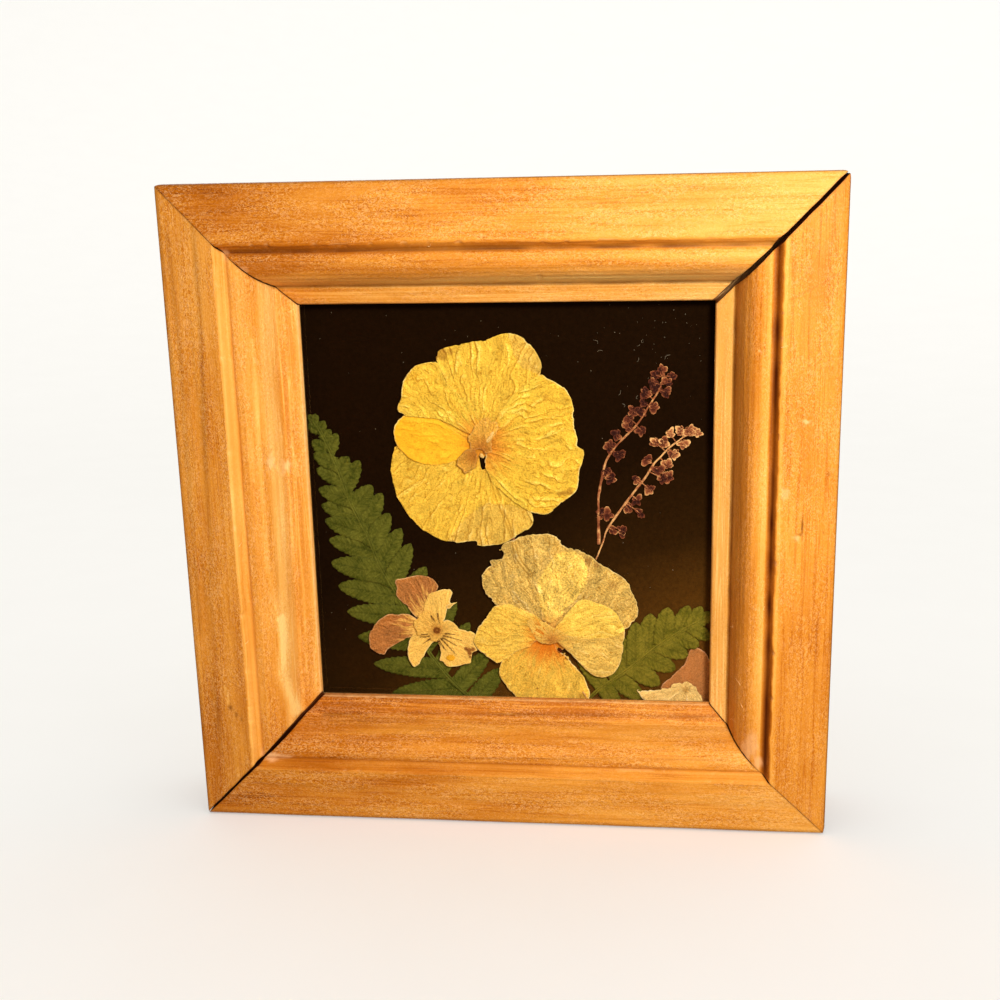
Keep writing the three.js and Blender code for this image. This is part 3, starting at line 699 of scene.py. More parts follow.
class Rail:
    """A rail as a grid of points: a row for each ring along it, a column for each point of its section."""

    def __init__(self, turns, left_mitre, right_mitre):
        line, self.outward, girth = section_line()
        self.turns = turns
        self.seed = 40 * turns
        self.from_edge, self.above_back = line.T
        self.mitres = (left_mitre, right_mitre)
        self.reaches = [self.reach(mitre) for mitre in self.mitres]
        share = ring_places()
        self.along = -self.reaches[0] * (1 - share) + self.reaches[1] * share
        self.girth = np.broadcast_to(girth, self.along.shape)
        self.inward = np.broadcast_to(self.from_edge, self.along.shape).copy()
        self.height = np.broadcast_to(self.above_back, self.along.shape).copy()
        self.visible = step_up(self.height, GLASS_SEAT, GLASS_SEAT + 1) * step_up(self.inward, -0.1, 0.6)
        self.front = self.visible * (self.height > GLASS_SEAT + 0.2)
        self.depth, self.bare, self.dark, self.filler = np.zeros((4, *self.along.shape))
        drift = RAIL_DRIFTS[turns] * self.along / HALF
        self.tone = np.interp(self.from_edge, *zip(*RAIL_TONES_AND_PAINTED_LIGHT[turns])) + drift

    def reach(self, mitre):
        """How far each point of the section goes from the rail's middle to an end, less the mitre's gap."""
        outer, inner = mitre
        gap = outer + (inner - outer) * self.from_edge / SIGHT
        frayed = 0.25 * outer * lattice(self.from_edge / 1.7, self.from_edge * 0, self.seed + 15)
        narrow = 0.8 if mitre is OPEN_TOP else 0.4
        widening = narrow + (1 - narrow) * step_up(self.from_edge, 0, 1.5)
        shows = np.where(self.from_edge < 0.01, step_up(self.above_back, 16.5, 19.2),
                         self.above_back > GLASS_SEAT + 0.3)
        return HALF - self.from_edge - (gap + frayed) * widening * (0.02 + 0.98 * shows)

    def noise(self, along_cell, girth_cell, number):
        return lattice(self.along / along_cell, self.girth / girth_cell, self.seed + number)

    def fine_noise(self, along_cell, girth_cell, number):
        return layered(self.along / along_cell, self.girth / girth_cell, self.seed + number)

    def drift(self, cell, number):
        """Noise that changes along the rail only."""
        return lattice(self.along / cell, self.along * 0, self.seed + number)

    def marks(self, table):
        """The marks of a table that lie on this rail, with their places along and inward for x and z."""
        return [(*on_rail(turns, x, z), *rest) for turns, x, z, *rest in table if turns == self.turns]

    def oval(self, along, inward, half_length, half_width, ragged=1.0):
        """The cover of a mark: 1 in its middle, and less round it."""
        lengthwise = bell((self.along - along) / half_length * ragged)
        return lengthwise * bell((self.inward - inward) / half_width * ragged)

    def streaks(self, table):
        """The streaks of a table that lie on this rail, each as (its cover, its strength)."""
        flat = np.stack([self.along.ravel(), self.inward.ravel()], 1)
        for turns, route, width, strength in table:
            if turns == self.turns:
                places = [on_rail(turns, x, z) for x, z in route]
                away = distance_to(flat, places, closed=False).reshape(self.along.shape)
                yield bell(away / width), strength

    def darken(self, cover):
        self.dark = np.maximum(self.dark, cover)

    def wear(self, cover):
        self.bare = np.maximum(self.bare, cover)

    def plane(self):
        """The waves and the fuzz that the plane left."""
        self.depth += 0.05 * (1 + self.noise(16, 0.9, 0))
        self.depth += 0.05 * (1 + self.noise(9, 4, 1))
        self.depth += 0.035 * (1 + self.fine_noise(0.9, 0.8, 2)) * self.front

    def knock(self):
        """Chips down to bare wood, and dark dents."""
        for *oval, cut, strength in self.marks(CHIPS):
            spot = self.oval(*oval, 1 + 0.8 * self.fine_noise(0.7, 0.4, 7)) * self.front
            self.depth += cut * spot
            self.wear(0.6 * strength * step_up(spot, 0.25, 0.9))
        for *oval, cut, strength in self.marks(DARK_MARKS):
            spot = self.oval(*oval) * self.front
            self.depth += cut * spot
            self.darken(strength * spot)

    def stain(self):
        """Dark streaks, and filler pressed into the mitres."""
        for streak, strength in self.streaks(DARK_STREAKS):
            self.darken(strength * streak * self.front * (0.75 + 0.5 * self.noise(6, 2, 9)))
        for *oval, strength in self.marks(FILLERS):
            patch = self.oval(*oval) * (1 + 0.9 * self.fine_noise(1.0, 0.9, 11))
            self.filler = np.maximum(self.filler, strength * step_up(patch, 0.2, 0.9) * self.front)

    def tear_ridge(self):
        """Lets the ridge wander, and tears it in places."""
        on_rim = self.height > RIM_FOOT
        tears = step_up(self.drift(1.5, 5), 0.6, 0.9)
        wander = 0.16 * self.drift(5.5, 3) + 0.1 * self.drift(1.3, 4)
        ridge = bell((self.inward - RIDGE) / 0.5) * on_rim
        self.inward += ridge * (wander - 0.25 * tears)
        self.depth += ridge * 0.12 * tears
        self.wear(0.3 * bell((self.inward - RIDGE) / 0.16) * on_rim * tears)

    def wear_sight_edge(self):
        """Wears the edge beside the pane."""
        worn = SIGHT_WEAR[self.turns] * bell((self.from_edge - SIGHT + 0.12) / 0.12)
        worn = worn * (self.above_back > GLASS_SEAT + 0.5)
        self.wear(worn * (0.75 + 0.35 * self.drift(1.2, 6)))

    def cut_in(self):
        """Moves what shows into the wood by its depth."""
        self.inward -= self.outward[:, 0] * self.depth * self.visible
        self.height -= self.outward[:, 1] * self.depth * self.visible

    def darken_grime_and_shade(self):
        """Darkens the mitres, and paints shade on the grooves (with some old varnish), the outer edge and
        what lies past an open sight corner, in the mitre's gap.
        """
        left, right = self.reaches
        self.darken(0.3 * bell(np.minimum(self.along + left, right - self.along) / 0.3) * self.front)
        # Painted shade in the grooves and at the foot of the lip, with some old varnish in them
        groove = bell((self.from_edge - GROOVE_MIDDLES[self.turns]) / GROOVE_WIDTHS[self.turns])
        groove = groove * (self.above_back > RIM_FOOT) + 0.6 * bell((self.from_edge - 19.3) / 0.3)
        groove = GROOVE_SHADE_AND_GRIME[self.turns] * groove * (self.above_back > 10)
        self.darken(groove * (0.8 + 0.3 * self.drift(4, 13)))
        # Painted shade along the outer edge
        self.darken(0.5 * bell(self.from_edge / 0.22) * (self.above_back > GLASS_SEAT))
        # Painted shade past an open sight corner, down in the mitre's gap
        open_side = np.where(self.along < 0, self.mitres[0][1], self.mitres[1][1])
        past_edge = step_up(np.abs(self.along) + self.from_edge + open_side - HALF, -0.05, 0.05)
        past_edge = past_edge * (self.from_edge > SIGHT - 0.5)
        self.darken(0.95 * past_edge * (self.above_back > GLASS_SEAT - 0.05))

    def saw_ends(self):
        """Paints the mitre faces nearly black: dark end grain, and painted shade in the narrow mitre gaps."""
        self.dark[[0, -1]] = 0.97
        self.bare[[0, -1]] = 0
        self.filler[[0, -1]] = 0

    def streak(self):
        """Lightens the wood along the pale streaks."""
        for streak, lift in self.streaks(PALE_STREAKS):
            self.tone = self.tone + lift * streak * self.front * (0.8 + 0.5 * self.noise(5, 2, 17))

    def points(self):
        """The points in the part's own space, with the frame's outer corners rounded off."""
        x = self.along
        z = self.inward - HALF
        arris = HALF - CORNER_RADIUS
        past = np.stack([np.maximum(np.abs(x) - arris, 0), np.maximum(np.abs(z) - arris, 0)])
        pull = np.minimum(1, CORNER_RADIUS / np.maximum(np.hypot(*past), 1e-9))
        pull = np.where((past > 0).all(0), pull, 1)
        x = np.where(np.abs(x) > arris, np.sign(x) * (arris + past[0] * pull), x)
        z = np.where(np.abs(z) > arris, np.sign(z) * (arris + past[1] * pull), z)
        for _ in range(self.turns):
            x, z = z, -x
        return np.stack([x, BACK - self.height, z + HALF], 2).reshape(-1, 3)

    def make(self, name, material):
        count = len(self.from_edge)
        faces = ring_faces(len(self.along), count, turned=True)
        faces.append(tuple(range(count)))
        faces.append(tuple(range(self.along.size - count, self.along.size))[::-1])
        raw = (self.above_back < GLASS_SEAT + 0.05) & (self.from_edge > 0.2)
        attributes = {
            "along": self.along + 300 * self.turns, "girth": self.girth, "inward": self.from_edge,
            "bare": self.bare, "dark": self.dark, "filler": self.filler, "raw": raw, "tone": self.tone,
            "fuzz": RAIL_FUZZ[self.turns],
        }
        for key, value in attributes.items():
            attributes[key] = np.broadcast_to(value, self.along.shape).ravel()
        make_piece(name + "_wood", self.points(), faces, material, "frame_wood", [name], attributes,
                   flat_faces=2)


def rail_piece(name, turns, left_mitre, right_mitre, material):
    """A rail, turned by quarter turns from the bottom one. Its mitres are named as on the bottom one."""
    rail = Rail(turns, left_mitre, right_mitre)
    rail.plane()
    rail.knock()
    rail.stain()
    rail.tear_ridge()
    rail.wear_sight_edge()
    rail.cut_in()
    rail.darken_grime_and_shade()
    rail.saw_ends()
    rail.streak()
    rail.make(name, material)


def make_rails():
    material = wood_material()
    rail_piece("rail_bottom", 0, OPEN_BOTTOM, TIGHT, material)
    rail_piece("rail_left", 1, TIGHT, OPEN_BOTTOM, material)
    rail_piece("rail_top", 2, OPEN_TOP, TIGHT, material)
    rail_piece("rail_right", 3, TIGHT, OPEN_TOP, material)
    make_splinters(material)


# Loose splinters, each (rail's quarter turns, x, z, length, way it points in degrees)
SPLINTERS = [
    (3, 53.0, 68.4, 1.4, 60), (3, 52.6, 66.0, 0.9, 100), (3, 52.2, 96.2, 1.2, 40), (3, 44.6, 40.6, 1.0, 80),
    (3, 46.2, 30.2, 1.3, 120), (3, 46.6, 26.0, 0.9, 75), (3, 44.8, 21.5, 1.1, 30),
    (3, 50.6, 46.4, 1.0, 100), (1, -51.6, 58.0, 1.1, 95), (1, -51.9, 38.0, 0.8, 80),
    (2, -12.0, 115.2, 0.9, 15), (2, 24.0, 106.4, 0.8, 150),
]


def make_splinters(material):
    """Pale hairs of wood that the plane tore up, lying on the mouldings."""
    section = np.array(MOULDING[:24], float)
    heap = Heap()
    t = np.linspace(0, 1, 8)
    for number, (turns, x, z, length, degrees) in enumerate(SPLINTERS):
        angle = math.radians(degrees)
        curl = 0.25 * np.sin(3.5 * t + number)
        route_x = x + length * t * math.cos(angle) - curl * math.sin(angle)
        route_z = z + length * t * math.sin(angle) + curl * math.cos(angle)
        inward = np.array([on_rail(turns, a, b)[1] for a, b in zip(route_x, route_z)])
        out = np.interp(inward, section[:, 0], section[:, 1])
        route = np.stack([route_x, BACK - out + 0.07, route_z], 1)
        points, faces = tube(route, 0.05 * (1.1 - t), 5)
        heap.add(points, faces, along=points[:, 0], girth=points[:, 2], inward=14.0, tone=0.5, bare=0.8,
                 dark=0.0, filler=0.0, raw=0.0, fuzz=0.5)
    heap.make("loose_splinters", material, "frame_wood")


# ---- Petals -------------------------------------------------------------------------------------

def front_loop(name):
    """The closed outline of a flat node's front, as points across and up in millimetres."""
    mesh = NODES[name].data
    front = min(v.co.y for v in mesh.vertices)
    edges = set()
    for face in mesh.polygons:
        corners = [mesh.vertices[i].co for i in face.vertices]
        if all(corner.y < front + 1e-5 for corner in corners):
            keys = [(round(corner.x / MM, 3), round(corner.z / MM, 3)) for corner in corners]
            edges |= set(zip(keys, keys[1:] + keys[:1]))
    follows = {a: b for a, b in edges if (b, a) not in edges}
    loop = [min(follows)]
    while follows[loop[-1]] != loop[0]:
        loop.append(follows[loop[-1]])
    return np.array(loop)


PITCH = 0.19
STEM_LINE = [(-4.6, 8.6), (-2.8, 2.4), (0.2, -6.2), (1.4, -11), (4, -14.6)]
LARGE_THROAT = (-5.5, 12.4)
PALE_THROAT = (7.7, -28.1)
VIOLA_THROAT = (-15.9, -26.8)
CORNER_MIDDLE = (36, -39)


def ragged_rim(loop, amount, seed):
    """The outline at a close pitch, with the small nicks of a dry edge."""
    rim = spline(loop, PITCH, closed=True)
    ahead = np.roll(rim, -1, axis=0) - np.roll(rim, 1, axis=0)
    ahead /= np.maximum(np.linalg.norm(ahead, axis=1)[:, None], 1e-9)
    side = np.stack([ahead[:, 1], -ahead[:, 0]], 1)
    place = np.arange(len(rim)) * PITCH
    nicks = 0.6 * lattice(place / 1.9, place * 0, seed) + 0.4 * lattice(place / 0.6, place * 0, seed + 1)
    steps = step_up(lattice(place / 1.3, place * 0, seed + 2), 0.45, 0.6)
    return rim + side * (amount * (nicks - 1.1 * steps))[:, None]


def spots_at(points, spots):
    """How strongly each point is covered by round spots, each (across, up, radius, strength)."""
    cover = np.zeros(len(points))
    for across, up, radius, strength in spots:
        away = np.hypot(points[:, 0] - across, points[:, 1] - up) / radius
        away = away * (1 + 0.35 * layered(points[:, 0] / 0.9, points[:, 1] / 0.9, 71))
        cover = np.maximum(cover, strength * step_up(away, 1.1, 0.55))
    return cover


def guides_at(points, lines):
    """Dark guide lines, each (start, end, half width), narrowing to their ends."""
    cover = np.zeros(len(points))
    for start, end, half_width in lines:
        start = np.array(start)
        along = np.array(end) - start
        t = np.clip(((points - start) @ along) / (along @ along), 0, 1)
        away = np.linalg.norm(points - start - t[:, None] * along, axis=1)
        cover = np.maximum(cover, step_up(away / (half_width * (1.1 - 0.7 * t)), 1.3, 0.5))
    return cover


# How far the middle of the first layer of specimens lies in front of the card, and how far layers are apart
FIRST_LAYER = 0.16
LAYER_PITCH = 0.28


def layer_height(layer):
    """How far the middle of a layer of specimens lies in front of the part's own middle plane."""
    return -CARD_FRONT + FIRST_LAYER + LAYER_PITCH * layer


def lapped(fold, reach, stroke, seed):
    """Lapped wrinkles: a gentle slope up and a steep one down, in strokes that start and end.

    Returns their height from 0 to 1 and where the steep sides are.
    """
    number = np.floor(fold)
    share = fold - number
    profile = np.where(share < 0.78, share / 0.78, (1 - share) / 0.22)
    strength = step_up(lattice(number, reach / stroke, seed), -0.1, 0.55)
    return profile * strength, step_up(share, 0.72, 0.86) * step_up(share, 1.0, 0.94) * strength


# The petals that the large pansy's stem shows through
OVER_STEM = ("large_pansy_petal_lower", "pale_pansy_petal_upper_left")
PETAL_THICKNESS = 0.05
# How high wrinkles rise under another petal
PRESSED_ROOM = 0.12
FAR_OUTSIDE = -9.0


def deepest_in(points, outlines):
    """How deep each point lies in the outlines, each the name of a node or a list of points."""
    deepest = np.full(len(points), FAR_OUTSIDE)
    for outline in outlines:
        loop = front_loop(outline) if isinstance(outline, str) else np.add(outline, (0, HALF))
        deepest = np.maximum(deepest, depth_in(points, loop))
    return deepest


def wrinkles(offset, middle, edge, seed, depth, pitch, laps, lean, pleats):
    """A petal's wrinkles: distance from the throat, number of the fold, height, and the crease of each point:
    how much painted shade its creases and the steep sides of its laps get.
    """
    reach = np.hypot(offset[:, 0], offset[:, 1])
    turn = np.arctan2(middle[0] * offset[:, 1] - middle[1] * offset[:, 0], offset @ middle)
    warp = 1.3 * layered(offset[:, 0] / 3.6, offset[:, 1] / 3.6, seed + 3)
    fold = (turn * (6 + 0.35 * reach) + warp) / pitch
    folds = lattice(fold, reach / 4.5 + warp, seed + 4)
    crinkle = layered(offset[:, 0] / 1.1, offset[:, 1] / 1.1, seed + 6)
    lap, steep = lapped(lean * fold * 1.15, reach + warp, 2.6, seed + 9)
    fade = step_up(reach, 0.5, 2.5) * (0.35 + 0.65 * step_up(edge, 0.1, 1.0))
    height = depth * fade * (1.5 * laps * lap + 1.3 * np.abs(folds) + 0.9 * np.abs(crinkle) - 1.1)
    crease = fade * (0.9 * laps * steep + 0.4 * step_up(np.abs(folds), 0.1, 0.0))
    if pleats:
        ridge, drop = lapped(lean * turn * 15 + 0.4 * warp, reach, 9.0, seed + 8)
        outer = step_up(reach, 8, 14)
        height += pleats * (ridge - 0.3) * outer
        crease = np.maximum(crease, drop * outer)
    return reach, fold, height, crease


def petal_piece(name, throat, material, slot, depth, pitch, lower=(), nicks=0.1, spots=(), guides=(),
                pleats=0.0, outline=None, layer=0.0, lean=1, roof=(), laps=1.0, room=0.28):
    """A petal sheet. depth and pitch are those of its wrinkles, which lap by laps of depth towards lean.

    lower lists the petals under it and roof those over it, where its wrinkles stay low; elsewhere they may
    rise by room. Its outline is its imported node's, or the given points of a scrap that has no node.
    """
    seed = sum(map(ord, name))
    centre = np.array((throat[0], throat[1] + HALF))
    loop = front_loop(name) if outline is None else spline(np.add(outline, (0, HALF)), 0.6, closed=True)
    rim = ragged_rim(loop, nicks, seed)
    flat, triangles = fill(rim, PITCH)
    edge = distance_to(flat, rim)
    reach, fold, height, crease = wrinkles(
        flat - centre, flat.mean(0) - centre, edge, seed, depth, pitch, laps, lean, pleats)
    if name in OVER_STEM:
        from_stem = distance_to(flat, spline(STEM_LINE, 0.5) + (0, HALF), closed=False)
        height += 0.1 * bell(from_stem / 0.35)
        # Painted shade along both sides of the stem's ridge
        crease = np.maximum(crease, bell((from_stem - 0.36) / 0.16))
    top = PRESSED_ROOM + (room - PRESSED_ROOM) * step_up(-deepest_in(flat, roof), 0.1, 1.2)
    top = np.where(height > 0, top, PRESSED_ROOM)
    height = top * np.tanh(height / top)
    level = level_of(name) if outline is None else layer_height(layer)
    points, faces = sheet(flat, triangles, level + PETAL_THICKNESS / 2 + height, PETAL_THICKNESS)
    plane = flat - (0, HALF)
    attributes = {
        "reach": reach, "fold": fold, "edge": edge, "under": deepest_in(flat, lower),
        "crease": np.clip(crease, 0, 1), "lift": np.clip(height / 0.2, -1, 1),
        "across": plane[:, 0], "up": plane[:, 1],
        "spot": spots_at(plane, spots), "guide": guides_at(plane, guides),
    }
    attributes = {key: np.tile(value, 2) for key, value in attributes.items()}
    replaced = [name] if outline is None else ()
    return make_piece(name + "_sheet", points, faces, material, slot, replaced, attributes)


def blob(across, up, length, width, tilt):
    """Six points round an oval, turned by tilt."""
    turns = np.linspace(0, 2 * math.pi, 7)[:-1]
    along = length * np.cos(turns)
    side = width * np.sin(turns)
    return np.stack([across + along * math.cos(tilt) - side * math.sin(tilt),
                     up + along * math.sin(tilt) + side * math.cos(tilt)], 1)


def make_large_pansy():
    rim = seen(252, 228, 150)
    heart = seen(222, 128, 40)
    gold = petal_material("gold_petal", seen(240, 192, 64), seen(241, 199, 70), heart, 8.6, rim, 0.58, 0.9,
                          heart_edge=0.1, heart_share=0.84)
    pale_gold = petal_material("pale_gold_petal", seen(229, 184, 78), seen(240, 193, 68), heart, 6.6, rim,
                               0.54, 0.8, heart_edge=0.1, heart_share=0.75)
    orange = petal_material("orange_gold_petal", seen(244, 180, 38), seen(246, 184, 42), seen(222, 118, 22),
                            5.4, rim, 0.36, 0.4, heart_edge=0.1)
    patched = petal_material("patched_gold_petal", seen(244, 188, 54), seen(246, 190, 54), heart, 6.6, rim,
                             0.46, 0.7, rim_share=0.0, heart_share=0.75)
    bruised = plain_petal_material("bruised_petal", seen(240, 178, 72), seen(216, 132, 48), 3.8,
                                   seen(246, 200, 128), 0.8, 0.9, heart_edge=0.1, rim_share=0.3)
    name = "large_pansy_petal_"
    folded = [(-13.0, 30.6, 1.4, 0.55), (-14.6, 29.9, 1.0, 0.6), (-11.4, 31.0, 0.8, 0.4)]
    brown = [(12.2, 2.9, 0.8, 0.6), (11.1, 2.5, 0.7, 0.5), (10.2, 2.3, 0.6, 0.45), (7.6, 21.9, 0.7, 0.3),
             (8.8, 21.2, 0.6, 0.25)]
    hidden_top = [(0.1, 36), (0.9, 32.3), (1.5, 30.2), (3.0, 27.8), (7, 26.2), (4, 10), (-20, 10),
                  (-20, 36)]
    hidden_bottom = [(-28, 14), (-28, -6), (-13.7, -9.4), (-13, -7.4), (-9.4, -2.9), (-7.4, -1.3),
                     (-4.8, 0.3), (-0.1, 0.0), (5, -1.6), (14, -2), (14, 14)]
    gusset = [(-21.2, 17.8), (-17, 20.4), (-10, 19), (-6, 17.5), (-1.6, 15.5), (-3, 11.2), (-4.8, 10),
              (-6.2, 10), (-7, 8.8), (-8.6, 7.6), (-10.5, 8.6), (-13, 11), (-17, 14)]

    def petal(end, material, depth, pitch, **settings):
        petal_piece(name + end, LARGE_THROAT, material, "yellow_petal", depth, pitch, **settings)

    petal("upper_right", pale_gold, 0.19, 1.0, nicks=0.16, spots=folded, pleats=0.2,
          lower=[hidden_top], roof=[name + "upper_left", name + "right"])
    petal("lower", pale_gold, 0.16, 1.15, nicks=0.16, pleats=0.26, lean=-1,
          lower=[hidden_bottom], roof=[name + "left", name + "right"])
    petal("left", orange, 0.07, 1.4, lower=[name + "lower", gusset], roof=[name + "upper_left"])
    petal("right", gold, 0.22, 1.15, nicks=0.14, spots=brown, lean=-1,
          lower=[name + "upper_right", name + "lower"], roof=[name + "upper_left"])
    petal("upper_left", gold, 0.2, 1.05, nicks=0.14, lower=[name + "upper_right", name + "left", gusset])
    petal_piece("large_pansy_gusset", LARGE_THROAT, patched, "yellow_petal", 0.05, 1.0, outline=gusset,
                layer=1.5)
    collar = [(-7.4, 11.2), (-7.9, 13.4), (-7.0, 15.8), (-5.6, 17.0), (-4.2, 17.9), (-3.2, 16.9),
              (-2.0, 16.6), (-2.2, 14.8), (-3.2, 13.6), (-3.5, 11.8), (-4.6, 10.8), (-5.8, 11.6)]
    petal_piece("large_pansy_collar", (-5.6, 11.4), bruised, "yellow_petal", 0.16, 0.45, outline=collar,
                layer=3.75, nicks=0.3, room=0.16)
    lobe = [(-10.4, 8.8), (-9.8, 10.4), (-8.6, 11.4), (-7.2, 11.6), (-6.4, 10.4), (-6.6, 9.2), (-7.0, 7.6),
            (-8.0, 7.2), (-8.8, 6.4), (-9.6, 7.6)]
    petal_piece("large_pansy_lobe", (-6.6, 10.6), bruised, "yellow_petal", 0.16, 0.4, outline=lobe,
                layer=3.7, nicks=0.35, room=0.15)
    pinkish = plain_petal_material("pinkish_scrap", seen(246, 196, 116), seen(238, 170, 92), 0.5, rim, 0.5,
                                   0.6, rim_share=0.3)
    scraps = [(-5.5, 10.3, 0.5, 0.7, 0.6), (-3.6, 14.0, 1.3, 0.26, 1.0)]
    for number, scrap in enumerate(scraps):
        petal_piece(f"large_pansy_scrap_{number}", (scrap[0], scrap[1] - 3), pinkish, "yellow_petal", 0.08,
                    0.4, outline=blob(*scrap), layer=4.0, nicks=0.25, room=0.14)
    make_stalk()


def make_stalk():
    """The large pansy's pressed stem, which shows through the petals that lie over it."""
    stem = Heap()
    line = spline(STEM_LINE, 0.4)
    centre = standing(line, -level_of("large_pansy_stem"))
    points, faces = tube(centre, np.linspace(0.4, 0.28, len(line)), 8, 0.25)
    stem.add(points, faces, light=0.7)
    stem.make("large_pansy_stalk", sprig_material(), "pale_petal", ["large_pansy_stem"])


def make_pale_pansy():
    rim = seen(250, 224, 160)
    papery = petal_material("papery_petal", seen(215, 176, 92), seen(248, 206, 100), seen(238, 164, 68),
                            6.2, rim, 1.1, 0.9, heart_edge=0.1, rim_share=0.6)
    glowing = petal_material("glowing_petal", seen(240, 194, 80), seen(244, 200, 88), seen(222, 116, 14),
                             6.6, rim, 0.7, 0.75, heart_edge=0.2, rim_share=0.6)
    cupped = petal_material("cupped_petal", seen(238, 190, 76), seen(242, 196, 82), seen(222, 110, 8), 8.4,
                            rim, 0.7, 0.75, heart_edge=0.2, rim_share=0.6)
    clear = petal_material("clear_yellow_petal", seen(228, 188, 94), seen(248, 206, 90), seen(240, 164, 56),
                           5.0, rim, 0.7, 0.8, heart_edge=0.1, rim_share=0.6)
    funnel = plain_petal_material("funnel_petal", seen(246, 196, 92), seen(226, 146, 60), 2.6, rim, 0.6,
                                  0.9, heart_edge=0.1, rim_share=0.1)
    name = "pale_pansy_petal_"
    speckles = [(-4.6, -13.6, 0.35, 0.6), (-3.6, -13.0, 0.25, 0.5), (-3.9, -14.2, 0.22, 0.6),
                (-5.0, -12.2, 0.2, 0.5)]
    mottles = [(16.0, -11.6, 0.9, 0.45), (17.6, -12.4, 0.8, 0.4), (21.0, -16.6, 1.2, 0.3),
               (22.6, -14.4, 1.0, 0.25)]
    patch = [(14.2, -40.9, 1.0, 0.4), (4.9, -39.5, 0.25, 0.8)]

    def petal(end, material, depth, pitch, **settings):
        petal_piece(name + end, PALE_THROAT, material, "pale_petal", depth, pitch, **settings)

    petal("upper_right", papery, 0.16, 0.9, nicks=0.26, spots=mottles, laps=0.6,
          roof=[name + "upper_left", name + "right"])
    petal("lower", cupped, 0.14, 1.4, spots=patch, laps=0.7, roof=[name + "left"])
    petal("upper_left", papery, 0.15, 0.95, nicks=0.3, spots=speckles, laps=0.6,
          lower=[name + "upper_right"], roof=[name + "left", name + "right"])
    petal("left", glowing, 0.13, 1.2, nicks=0.16, laps=0.7, room=0.16,
          lower=[name + "upper_left", name + "lower"])
    petal("right", clear, 0.12, 1.1, laps=1.0, room=0.16, lower=[name + "upper_right", name + "upper_left"])
    scrap = [(3.2, -24.6), (5.6, -24.4), (8.2, -25.6), (10.6, -26.8), (11.9, -28.6), (12.6, -30.4),
             (11.4, -30.6), (10.4, -29.4), (9.2, -29.0), (7.8, -29.5), (5.8, -29.2), (4.2, -27.4)]
    petal_piece("pale_pansy_scrap", (8.2, -28.6), funnel, "pale_petal", 0.08, 0.8, outline=scrap,
                layer=4.05, nicks=0.2, room=0.13)
    gusset = [(6.2, -23.5), (8.5, -22.9), (10.5, -25), (11.2, -29.4), (9.9, -30.9), (8.2, -30.4),
              (6.2, -29)]
    petal_piece("pale_pansy_gusset", PALE_THROAT, glowing, "pale_petal", 0.04, 0.8, outline=gusset,
                layer=1.6)
    hollow = plain_petal_material("hollow_scrap", seen(70, 24, 6), seen(40, 12, 4), 0.4, rim, 0.3, 0.4,
                                  rim_share=0.0)
    petal_piece("pale_pansy_hollow", (9.9, -33), hollow, "pale_petal", 0.03, 0.5, layer=4.2, nicks=0.12,
                room=0.1, outline=blob(9.9, -30.7, 0.75, 0.4, -1.0))
    for number, anther in enumerate([(10.7, -31.6, 0.5, 0.28, 0.9), (11.4, -32.3, 0.45, 0.25, -0.8)]):
        petal_piece(f"pale_pansy_anther_{number}", (anther[0], anther[1] - 3), funnel, "pale_petal", 0.04,
                    0.4, outline=blob(*anther), layer=4.25, nicks=0.1, room=0.1)
    make_thread()


def make_thread():
    """A loose thread under the pale pansy."""
    thread = Heap()
    route = spline([(14.5, -39.9), (15.0, -40.6), (15.4, -41.5), (16.0, -42.3)], 0.2)
    points, faces = tube(standing(route, CARD_FRONT - 1.0), np.linspace(0.12, 0.06, len(route)), 6)
    thread.add(points, faces, light=1.2)
    thread.make("pale_pansy_thread", sprig_material(), "pale_petal")


